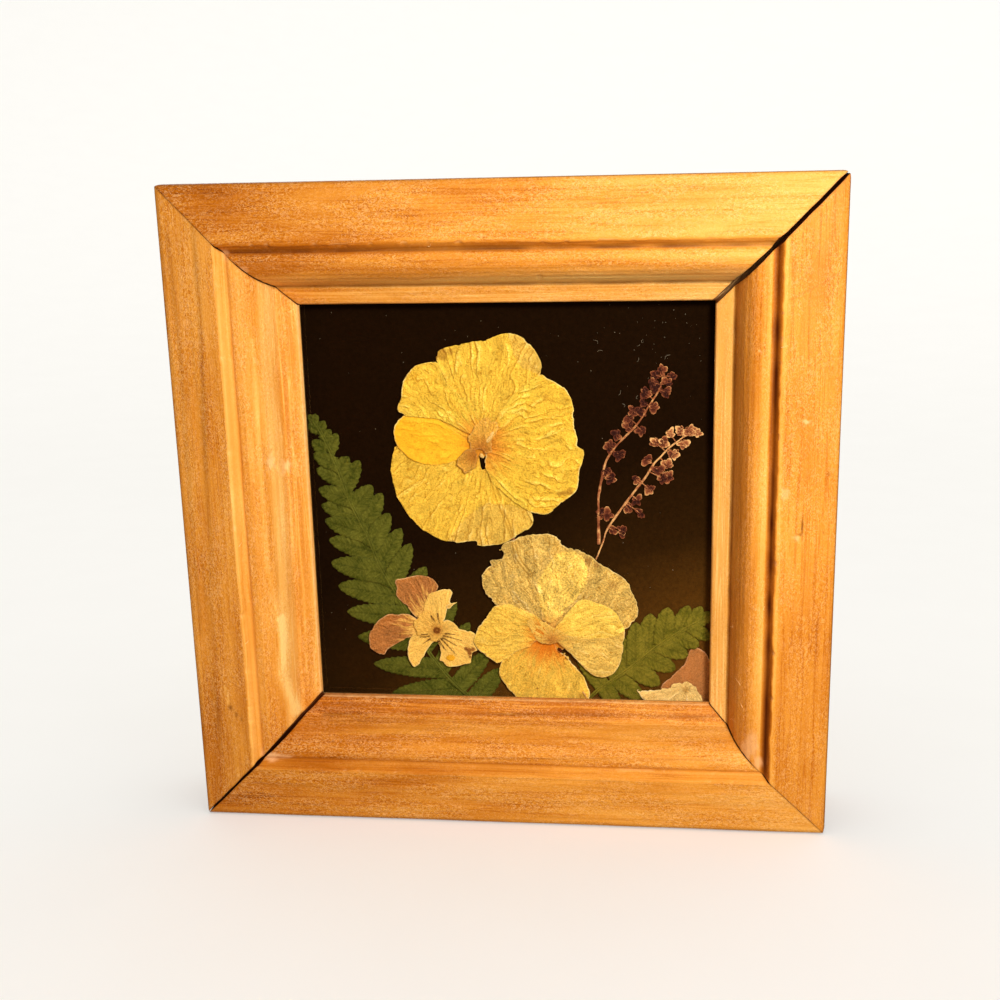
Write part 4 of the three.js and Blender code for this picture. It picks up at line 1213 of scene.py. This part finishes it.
def make_viola():
    rim = seen(252, 226, 158)
    butter = plain_petal_material("butter_petal", seen(250, 200, 100), seen(242, 180, 80), 2.4, rim, 0.45,
                                  0.6)
    middle = plain_petal_material("butter_heart", seen(246, 192, 92), seen(220, 150, 62), 1.8, rim, 0.5,
                                  0.8, rim_share=0.0)
    dusky = petal_material("dusky_petal", seen(184, 118, 62), seen(190, 122, 66), seen(246, 192, 98), 8.2,
                           seen(236, 186, 134), 0.8, 0.8, heart_edge=0.55, heart_share=1.0)
    name = "viola_petal_"
    upper_lines = [((-17.1, -23.8), (-16.2, -25.3), 0.16), ((-15.8, -23.4), (-15.4, -25.5), 0.16)]
    left_lines = [((-17.7, -28.3), (-19.7, -28.6), 0.13), ((-17.5, -28.8), (-19.1, -30.0), 0.15),
                  ((-18.0, -27.8), (-19.4, -27.9), 0.1)]
    right_lines = [((-14.3, -27.6), (-11.5, -27.9), 0.14), ((-14.7, -28.1), (-10.9, -29.1), 0.15),
                   ((-14.8, -28.6), (-11.9, -30.3), 0.16), ((-15.2, -28.8), (-12.1, -32.3), 0.17),
                   ((-15.7, -29.0), (-14.2, -31.7), 0.14), ((-16.0, -29.2), (-14.8, -30.9), 0.13)]
    lines = upper_lines + left_lines + right_lines
    corner = [(-10.0, -30.9, 0.55, 0.85), (-9.3, -31.2, 0.7, 0.85), (-8.5, -31.0, 0.6, 0.85),
              (-9.2, -31.9, 0.6, 0.85), (-9.1, -32.7, 0.45, 0.8)]
    petal_piece(name + "upper", VIOLA_THROAT, dusky, "pink_petal", 0.05, 0.9, nicks=0.1)
    petal_piece(name + "left", VIOLA_THROAT, dusky, "pink_petal", 0.06, 0.9, nicks=0.12)
    petal_piece(name + "upper_right", VIOLA_THROAT, butter, "yellow_petal", 0.06, 0.8,
                lower=[name + "upper"], nicks=0.1, guides=lines)
    petal_piece(name + "lower_left", VIOLA_THROAT, butter, "yellow_petal", 0.06, 0.8, lower=[name + "left"],
                nicks=0.1, guides=lines)
    petal_piece(name + "lower_right", VIOLA_THROAT, butter, "yellow_petal", 0.06, 0.8, nicks=0.12,
                guides=lines, spots=corner)
    outline = [(-20.4, -24.6), (-19.2, -23.2), (-18.2, -23.0), (-16.9, -23.2), (-15.3, -23.8),
               (-14.3, -25.1), (-13.3, -26.3), (-13.7, -28), (-14.9, -28.8), (-16.1, -29.4), (-16.9, -29.3),
               (-18.1, -28.8), (-19.4, -28.4), (-20.4, -27.4), (-20.8, -26)]
    turns = np.linspace(0, 5.4, 8)
    ring = [(-16.0 + 0.5 * math.cos(a), -26.9 + 0.42 * math.sin(a), 0.38, 0.85) for a in turns]
    petal_piece("viola_heart", (-16.0, -26.9), middle, "yellow_petal", 0.09, 0.8, outline=outline,
                layer=3.5, nicks=0.3, guides=lines, spots=ring, room=0.16)
    petal_piece("viola_tatter", (-15, -22.5), butter, "yellow_petal", 0.04, 0.6, layer=2.4, nicks=0.05,
                outline=[(-13.9, -21.7), (-12.9, -21.1), (-11.8, -20.9), (-12.6, -21.5), (-13.4, -22.3)])
    yolk = plain_petal_material("yolk_scrap", seen(244, 176, 40), seen(230, 150, 30), 1.0, rim, 0.3, 0.4,
                                rim_share=0.0)
    petal_piece("viola_yolk", (-13.2, -31), yolk, "yellow_petal", 0.03, 0.6, layer=3.4, nicks=0.25,
                room=0.12, outline=blob(-13.3, -33.0, 1.0, 0.65, 0.1))


def make_corner_flower():
    rose = petal_material("rose_petal", seen(180, 116, 64), seen(184, 120, 66), seen(150, 80, 44), 1.0,
                          seen(222, 168, 130), 0.5, 0.5)
    cream = petal_material("cream_petal", seen(252, 208, 128), seen(252, 210, 130), seen(232, 178, 96), 1.0,
                           seen(252, 226, 170), 0.4, 0.7)
    petal_piece("corner_flower_petal_back", CORNER_MIDDLE, rose, "pink_petal", 0.05, 1.2, nicks=0.08,
                laps=0.5)
    petal_piece("corner_flower_petal_front", CORNER_MIDDLE, cream, "pale_petal", 0.16, 0.8,
                lower=["corner_flower_petal_back"], nicks=0.3)


# ---- Ferns --------------------------------------------------------------------------------------

# Leaflets are (place on the midrib, tip, width)
LEFT_MIDRIB = [
    (-40.0, 17), (-38.4, 14.2), (-35.8, 7.8), (-33.4, 0.4), (-30.2, -6.6), (-27.8, -13.2), (-24.8, -18.8),
    (-22.4, -23.6), (-17.8, -32.6), (-12.8, -39), (-9.6, -42), (-6.8, -45),
]
LEFT_LEAFLETS = [
    ((-37.8, 11), (-40.8, 13), 3.1), ((-36.4, 8.2), (-40.6, 10.4), 3.4), ((-35, 5), (-40.2, 7.2), 3.6),
    ((-33.4, 0.8), (-40, 3), 3.9), ((-32.2, -2.8), (-39.6, -0.4), 4), ((-30.6, -6.4), (-39, -3.6), 4.4),
    ((-29.2, -10.2), (-38.4, -7.8), 4.5), ((-27.6, -14.8), (-38.2, -12.8), 5.2),
    ((-25.4, -19.8), (-37, -17.8), 5.2), ((-22.6, -24.4), (-35.4, -23.4), 4.9),
    ((-19.6, -29.8), (-33.4, -29), 4.7), ((-15.4, -35.8), (-30.2, -35), 4.7),
    ((-12, -40), (-26.6, -41.8), 4.9), ((-39.3, 15.2), (-41.4, 16.4), 2.2),
    ((-39.9, 16.8), (-41.2, 18.4), 1.8), ((-39.9, 16.6), (-39.7, 18.7), 1.8),
    ((-39.4, 14.6), (-37.8, 17.2), 2.3), ((-38.4, 13.2), (-36.6, 15.4), 2.4),
    ((-37.2, 10.8), (-35.4, 14.6), 2.7), ((-35.8, 6.4), (-33.2, 9.8), 3.4), ((-34.6, 3), (-31, 9), 3.8),
    ((-32.8, -1.2), (-28.6, 3.8), 4.3), ((-31.2, -5.2), (-26.6, 2.2), 4.4), ((-29.6, -9), (-25.2, -2), 4.4),
    ((-27.8, -13.4), (-22.9, -5.2), 4.4), ((-25.8, -17.6), (-21, -8.4), 4.5),
    ((-23.6, -21.8), (-18, -13.4), 4.4), ((-19, -30.6), (-11.8, -21), 4.3),
    ((-15.8, -35.6), (-9.2, -25.4), 4.3), ((-12.2, -39.6), (-5.2, -31.6), 4.4),
    ((-8.8, -42.8), (-2.6, -35.4), 4.4),
]
RIGHT_MIDRIB = [
    (38.8, -24), (35.2, -26.2), (32.2, -28.2), (29.2, -30.4), (25.8, -33.4), (21.8, -36.6), (17.8, -39.6),
    (15.4, -42),
]
RIGHT_LEAFLETS = [
    ((18.8, -39), (13.6, -31.8), 3.7), ((21.8, -36.6), (17.8, -29.4), 3.9),
    ((23.8, -35), (21.6, -26.8), 3.9), ((25.6, -33.6), (25.6, -24.6), 4.1),
    ((28, -31.4), (28.6, -22.7), 4.3), ((31, -29.2), (32.2, -21.3), 4.2),
    ((33.8, -27.4), (36.4, -20.9), 3.5), ((36.6, -25.6), (39, -21), 2.9), ((38, -24.6), (41.2, -22.4), 2.7),
    ((36.8, -25.4), (41, -28), 3), ((33.4, -27.4), (38.6, -29.6), 3.4), ((30.2, -29.6), (36.4, -31.7), 3.7),
    ((27.2, -32), (33.8, -34.8), 3.9), ((24.4, -34.4), (30.6, -38.2), 4.1),
    ((21.4, -36.8), (26.8, -41.4), 4.1), ((18.8, -38.8), (21.8, -43.4), 3.7),
]


def leaflet(heap, base, tip, width, blunt, level, seed):
    """One leaflet: a saw-toothed blade with a midvein, side veins and slightly raised cells."""
    base = np.array(base, float)
    along = np.array(tip) - base
    length = np.linalg.norm(along)
    along /= length
    side = np.array([-along[1], along[0]])
    t = np.linspace(-0.06, 1, max(10, round(length / 0.2)))
    half_width = width / 2 * (1 - np.abs(t) ** blunt) ** 0.65
    saw = (t * length / 1.25 + seed * 0.37) % 1
    teeth = 0.42 * saw ** 1.5 * (1 - t) ** 0.3
    half_width = half_width + teeth * step_up(t, 0.1, 0.3) - 0.1
    half_width[-1] = 0
    left = base + along * (t * length)[:, None] + side * half_width[:, None]
    right = base + along * (t * length)[:, None] - side * np.maximum(half_width, 0)[:, None]
    rim = np.concatenate([left, right[-2::-1]])
    rim = spline(rim, 0.24, closed=True)
    flat, triangles = fill(rim, 0.33)
    far = (flat - base) @ along
    off = (flat - base) @ side
    midvein = bell(off / 0.14)
    ribs = np.abs(((far - np.abs(off) * 0.9) / 1.15 + seed) % 1 - 0.5) * 2
    veins = step_up(ribs, 0.72, 0.98)
    edge = distance_to(flat, rim)
    height = 0.045 * ribs * step_up(edge, 0, 0.6) - 0.07 * midvein - 0.012 * np.abs(off)
    height += 0.02 * layered(flat[:, 0] / 1.2, flat[:, 1] / 1.2, seed)
    points, faces = sheet(flat + (0, HALF), triangles, level + height, 0.04)
    furrow = np.maximum(0.8 * midvein, 0.5 * step_up(edge, 0.14, 0.0))
    heap.add(points, faces, vein=np.tile(veins, 2), furrow=np.tile(furrow, 2),
             across=np.tile(flat[:, 0], 2), up=np.tile(flat[:, 1], 2),
             far=np.tile((far - np.abs(off) * 0.9) * 2.6 + seed * 7, 2), off=np.tile(off * 0.9, 2))


def fern_piece(name, midrib, leaflets, blunt, material):
    """A fern frond: leaflets by turns a little higher and lower, and a midrib of two strands."""
    level = level_of(name)
    heap = Heap()
    for index, (base, tip, width) in enumerate(leaflets):
        leaflet(heap, base, tip, width, blunt, level - 0.04 + 0.075 * (index % 2), index + 3)
    line = spline(midrib, 0.4)
    ahead = np.gradient(line, axis=0)
    normal = np.stack([-ahead[:, 1], ahead[:, 0]], 1) / np.linalg.norm(ahead, axis=1)[:, None]
    for offset, light in ((-0.22, 0.9), (0.22, 0.5)):
        beside = standing(line + normal * offset, -level - 0.05)
        points, faces = tube(beside, np.linspace(0.12, 0.2, len(line)), 8, 0.45)
        heap.add(points, faces, vein=light, furrow=0.0, across=points[:, 0], up=points[:, 2] - HALF,
                 far=points[:, 2], off=points[:, 0] * 3)
    return heap.make(name + "_blades", material, "frond", [name])


def make_ferns():
    deep = frond_material("deep_frond", seen(51, 57, 8), seen(104, 103, 36))
    olive = frond_material("olive_frond", seen(76, 74, 13), seen(127, 114, 36))
    fern_piece("fern_frond_left", LEFT_MIDRIB, LEFT_LEAFLETS, 3.2, deep)
    fern_piece("fern_frond_right", RIGHT_MIDRIB, RIGHT_LEAFLETS, 4.5, olive)


# ---- Sprigs -------------------------------------------------------------------------------------

TALL_STEM = [
    (18, -8.2), (18, -2.8), (18, 1.4), (18.8, 6), (19.6, 9), (21, 11.4), (23, 13.6), (25.2, 15.8),
    (27, 18.2), (28.6, 21), (30, 23.2), (30.8, 26),
]
TALL_FLORETS = [
    (30.6, 27.2), (29.4, 26.2), (32.4, 26), (28.8, 24.8), (31.6, 24.8), (29.6, 23.6), (31.4, 22.8),
    (27.4, 22.6), (27, 20.8), (29, 20), (24.8, 19.2), (24.2, 17.6), (26.6, 19), (24, 16), (26.6, 15.2),
    (21.8, 14.4), (20.2, 12), (22.4, 10.2), (19.6, 7), (20.6, 5.6), (18.4, -2), (19.8, -1.8),
]
LEANING_STEM = [
    (17.4, -11.4), (18.8, -7.8), (19.8, -5), (22.4, -1), (25.6, 3.4), (27.6, 6), (29.2, 8.6), (31.2, 10.8),
    (32.6, 12.2), (35, 14), (37.2, 14.8),
]
LEANING_FLORETS = [
    (37.4, 14.8), (36, 15.2), (34.2, 15.2), (35, 12.6), (32.2, 14.6), (29.4, 12.8), (31, 12.8), (33, 10.6),
    (27.8, 9.2), (31.8, 8.4), (30.2, 7.2), (30.8, 5.6), (32, 6), (25.6, 5.2), (28.2, 3.4), (25.8, 1.2),
    (26.4, -1.6), (24, -0.6), (22.8, -5.4), (21, -5.2),
]


def floret_petal(heap, centre, angle, size, breadth, level, lightness):
    """A small cupped, crumpled petal, lying flat at the given angle and paler towards its tip."""
    rings = 5
    around = 14
    points = [(0.0, 0.0, 0.0)]
    light = [lightness - 0.35]
    for i in range(1, rings + 1):
        share = i / rings
        for k in range(around):
            a = 2 * math.pi * k / around
            frill = 1 + 0.1 * math.sin(3 * a + 9 * size) + 0.07 * math.sin(5 * a + 20 * size)
            points.append((share * frill * math.cos(a), share * frill * breadth * math.sin(a),
                           share ** 3 + 0.5 * share * math.sin(4 * a + 30 * size)))
            glow = 0.3 * share ** 2 + 0.25 * share * math.cos(a) + 0.15 * share ** 6
            light.append(lightness - 0.35 + glow)
    points = np.array(points)
    flat = np.stack([(points[:, 0] + 0.85) * size, points[:, 1] * size], 1)
    turned = flat @ np.array([[math.cos(angle), math.sin(angle)], [-math.sin(angle), math.cos(angle)]])
    triangles = [(0, 1 + k, 1 + (k + 1) % around) for k in range(around)]
    for i in range(rings - 1):
        for k in range(around):
            a, b = 1 + i * around + k, 1 + i * around + (k + 1) % around
            triangles += [(a, a + around, b + around), (a, b + around, b)]
    made, faces = sheet(turned + centre + (0, HALF), triangles, level + 0.08 * points[:, 2], 0.035)
    heap.add(made, faces, light=np.tile(light, 2))


def sprig_piece(name, stem, florets, material, seed, warmth, radii):
    """A stem with florets. radii are the stem's at its foot, in its middle and at its tip."""
    random = np.random.default_rng(seed)
    level = level_of(name)
    heap = Heap()
    line = spline(stem, 0.25)
    walked = np.arange(len(line)) / 5.0
    wobble = 0.09 * layered(walked, 0 * walked, seed)
    centre = standing(line, -level) + np.outer(wobble, (1, 0, 0))
    swell = layered(walked, 0 * walked, seed + 5)
    thick = np.interp(np.linspace(0, 1, len(line)), (0, 0.4, 1), radii) * (1 + 0.35 * swell)
    points, faces = tube(centre, thick, 8, 0.3)
    lit = warmth + 0.4 + 0.4 * layered(points[:, 0] / 1.1, points[:, 2] / 1.1, seed)
    heap.add(points, faces, light=lit)
    for across, up in florets:
        here = np.array((across, up), float)
        nearest = line[np.argmin(np.linalg.norm(line - here, axis=1))]
        bend = 0.1 * np.sin(np.linspace(0, math.pi, 6))
        stalk = np.linspace(nearest, here, 6) + np.outer(bend, (1, 0))
        points, faces = tube(standing(stalk, -level), 0.11, 6, 0.6)
        heap.add(points, faces, light=warmth + 0.3)
        if np.linalg.norm(here - nearest) > 0.2:
            outward = math.atan2(*(here - nearest)[::-1])
        else:
            outward = random.uniform(0, 6)
        petals = random.integers(4, 7)
        tip_warmth = warmth + 0.08 + 0.3 * step_up(up, 6, 14) * (warmth > 0.35)
        for k in range(petals):
            angle = outward + 2 * math.pi * k / petals + random.uniform(-0.5, 0.5)
            size = random.uniform(0.46, 0.84)
            breadth = random.uniform(0.55, 0.95)
            lift = level + random.uniform(-0.06, 0.05)
            floret_petal(heap, here, angle, size, breadth, lift, tip_warmth + random.uniform(-0.3, 0.3))
    return heap.make(name + "_spike", material, "seed_sprig", [name])


def make_sprigs():
    material = sprig_material()
    sprig_piece("sprig_tall", TALL_STEM, TALL_FLORETS, material, 11, 0.3, (0.34, 0.24, 0.14))
    sprig_piece("sprig_leaning", LEANING_STEM, LEANING_FLORETS, material, 12, 0.42, (0.13, 0.26, 0.14))


# ---- Dust under the glass -----------------------------------------------------------------------

def dust_material():
    shader = Shader("pale_dust")
    grit = shader.noise(shader.own_place(), 4000, 2, 0.6)
    shader.set(base_color=shader.ramp(grit, (0.3, seen(88, 78, 62)), (0.7, seen(150, 140, 122))),
               roughness=0.9)
    return shader.material


def make_dust():
    """Specks all over the card and more in its upper right corner, where some short hairs lie too."""
    random = np.random.default_rng(5)
    heap = Heap()
    level = CARD_FRONT - 0.03
    scattered = [(random.uniform(-39, 39), random.uniform(-39, 39)) for _ in range(90)]
    clustered = [(random.normal(31, 6), random.normal(34, 5)) for _ in range(45)]
    for across, up in scattered + clustered:
        if abs(across) > 40 or abs(up) > 40:
            continue
        radius = random.uniform(0.03, 0.09)
        lump = [(across, level, up + HALF - radius), (across + radius, level, up + HALF),
                (across, level, up + HALF + radius)]
        points, faces = tube(np.array(lump) + random.normal(0, radius / 3, (3, 3)) * (1, 0, 1),
                             radius * 0.6, 5, 0.4)
        heap.add(points, faces)
    for _ in range(13):
        across, up = random.normal(30, 7), random.normal(33, 6)
        if abs(across) > 39 or abs(up) > 39:
            continue
        angle = random.uniform(0, math.pi)
        length = random.uniform(0.4, 1.5)
        bend = random.uniform(-0.3, 0.3)
        t = np.linspace(0, 1, 9)
        x = across + length * t * math.cos(angle) + bend * np.sin(t * 4) * math.sin(angle)
        z = up + length * t * math.sin(angle) - bend * np.sin(t * 4) * math.cos(angle)
        points, faces = tube(standing(np.stack([x, z], 1), level), 0.026, 5)
        heap.add(points, faces)
    heap.make("dust_specks", dust_material(), "mount_card")


# ---- Carried-over sheets and points -------------------------------------------------------------

def finish_node(name, material):
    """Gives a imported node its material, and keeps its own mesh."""
    node = NODES[name]
    node.data.materials.clear()
    node.data.materials.append(material)


def finish_nodes():
    finish_node("glass_pane", glass_material())
    NODES["glass_pane"].visible_shadow = False
    NODES["glass_pane"].visible_diffuse = False
    finish_node("mount_card", card_material())
    finish_node("backing_board", board_material())
    steel = steel_material()
    for number in range(1, 9):
        finish_node(f"glazier_point_{number}", steel)


# ---- Studio -------------------------------------------------------------------------------------

def make_camera():
    """The camera, fitted to the frame's corners in the photograph."""
    data = bpy.data.cameras.new("camera")
    data.lens = 42.78
    data.sensor_width = 36
    data.shift_x = -0.05
    data.shift_y = 0.02
    data.clip_start = 0.01
    camera = bpy.data.objects.new("camera", data)
    camera.location = (0.03274, -0.22896, 0.11563)
    camera.rotation_euler = Euler([math.radians(angle) for angle in (76.795, 0.864, 5.801)])
    bpy.context.scene.collection.objects.link(camera)
    bpy.context.scene.camera = camera


def add_light(name, kind, place, target, power, colour, **settings):
    """A light at a place that points at a target, with settings of its kind such as shape and size."""
    data = bpy.data.lights.new(name, kind)
    data.energy = power
    data.color = colour
    for key, value in settings.items():
        setattr(data, key, value)
    light = bpy.data.objects.new(name, data)
    light.location = place
    light.rotation_euler = (Vector(target) - Vector(place)).to_track_quat("-Z", "Y").to_euler()
    bpy.context.scene.collection.objects.link(light)
    return light


def link_light(light, shape, state):
    """Lets a light fall on one object only, or on every object but that one."""
    reached = bpy.data.collections.new(light.name + "_reach")
    reached.objects.link(shape)
    reached.collection_objects[0].light_linking.link_state = state
    light.light_linking.receiver_collection = reached


def make_floor():
    """A pale floor round the frame that sweeps up into a wall on every side."""
    flat_reach = 0.45
    radius = 2.0
    profile = [(0.0, 0.0), (flat_reach * 0.5, 0.0), (flat_reach, 0.0)]
    for angle in np.linspace(0.05, math.pi / 2, 30):
        profile.append((flat_reach + radius * math.sin(angle), radius - radius * math.cos(angle)))
    sides = 72
    turns = [2 * math.pi * k / sides for k in range(sides)]
    points = []
    for reach, height in profile:
        points += [(reach * math.cos(turn), reach * math.sin(turn), height) for turn in turns]
    faces = ring_faces(len(profile), sides, turned=True)
    mesh = bpy.data.meshes.new("floor")
    mesh.from_pydata(points, [], faces)
    mesh.polygons.foreach_set("use_smooth", [True] * len(faces))
    mesh.materials.append(floor_material())
    floor = bpy.data.objects.new("floor", mesh)
    bpy.context.scene.collection.objects.link(floor)
    floor.visible_diffuse = False
    floor.visible_glossy = False
    floor.visible_transmission = False
    return floor


def velvet_material():
    shader = Shader("black_velvet")
    nap = shader.noise(shader.own_place(), 60, 2, 0.5)
    colour = shader.ramp(nap, (0.0, (0.003, 0.002, 0.001)), (1.0, (0.006, 0.005, 0.004)))
    shader.set(base_color=colour, roughness=1.0, specular_ior_level=0.0)
    return shader.material


def make_dark_flag():
    """A dark card below and in front of the frame, which only reflections in the pane see."""
    mesh = bpy.data.meshes.new("dark_flag")
    mesh.from_pydata([(-2, -0.02, 0.001), (-2, -1.2, 0.001), (2, -1.2, 0.001), (2, -0.02, 0.001),
                      (-2, -1.2, 0.9), (2, -1.2, 0.9)], [], [(0, 1, 2, 3), (1, 4, 5, 2)])
    mesh.materials.append(velvet_material())
    flag = bpy.data.objects.new("dark_flag", mesh)
    bpy.context.scene.collection.objects.link(flag)
    flag.visible_camera = False
    flag.visible_diffuse = False
    flag.visible_shadow = False


def make_world():
    world = bpy.data.worlds.new("studio")
    world.use_nodes = True
    background = world.node_tree.nodes["Background"]
    background.inputs["Color"].default_value = (1.0, 0.9, 0.74, 1)
    background.inputs["Strength"].default_value = 0.3
    bpy.context.scene.world = world
    bpy.context.scene.view_settings.view_transform = "Standard"


def make_lights(floor):
    """Three lights for the frame, from the lamp, the table and behind, and two that reach the floor alone."""
    key = add_light("key_light", "AREA", (0.10, -0.20, 0.165), (0.0, 0.0, 0.06), 0.77, (0.965, 0.95, 0.87),
                    shape="DISK", size=0.05)
    link_light(key, floor, "EXCLUDE")
    bounce = add_light("table_bounce_light", "AREA", (0.0, -0.2, 0.02), (0.0, 0.0, 0.1), 0.15,
                       (1.0, 0.66, 0.34), shape="DISK", size=0.15)
    link_light(bounce, floor, "EXCLUDE")
    bounce.visible_glossy = False
    bounce.visible_transmission = False
    rear = add_light("rear_light", "AREA", (-0.25, 0.5, 0.4), (0.0, 0.0, 0.06), 2.3, (1.0, 0.97, 0.93),
                     shape="DISK", size=0.3)
    link_light(rear, floor, "EXCLUDE")
    dome = add_light("floor_dome_light", "AREA", (0.3, 0.2, 2.2), (0.0, 0.2, 0.0), 36, (0.965, 0.985, 1.0),
                     shape="SQUARE", size=4.0)
    link_light(dome, floor, "INCLUDE")
    wash = add_light("backdrop_light", "SUN", (0.0, -1.0, 1.4), (0.0, 0.0, 0.0), 1.52, (0.965, 0.985, 1.0),
                     use_shadow=False)
    link_light(wash, floor, "INCLUDE")


make_camera()
make_world()
make_lights(make_floor())
make_dark_flag()
make_rails()
make_large_pansy()
make_pale_pansy()
make_viola()
make_corner_flower()
make_ferns()
make_sprigs()
make_dust()
finish_nodes()
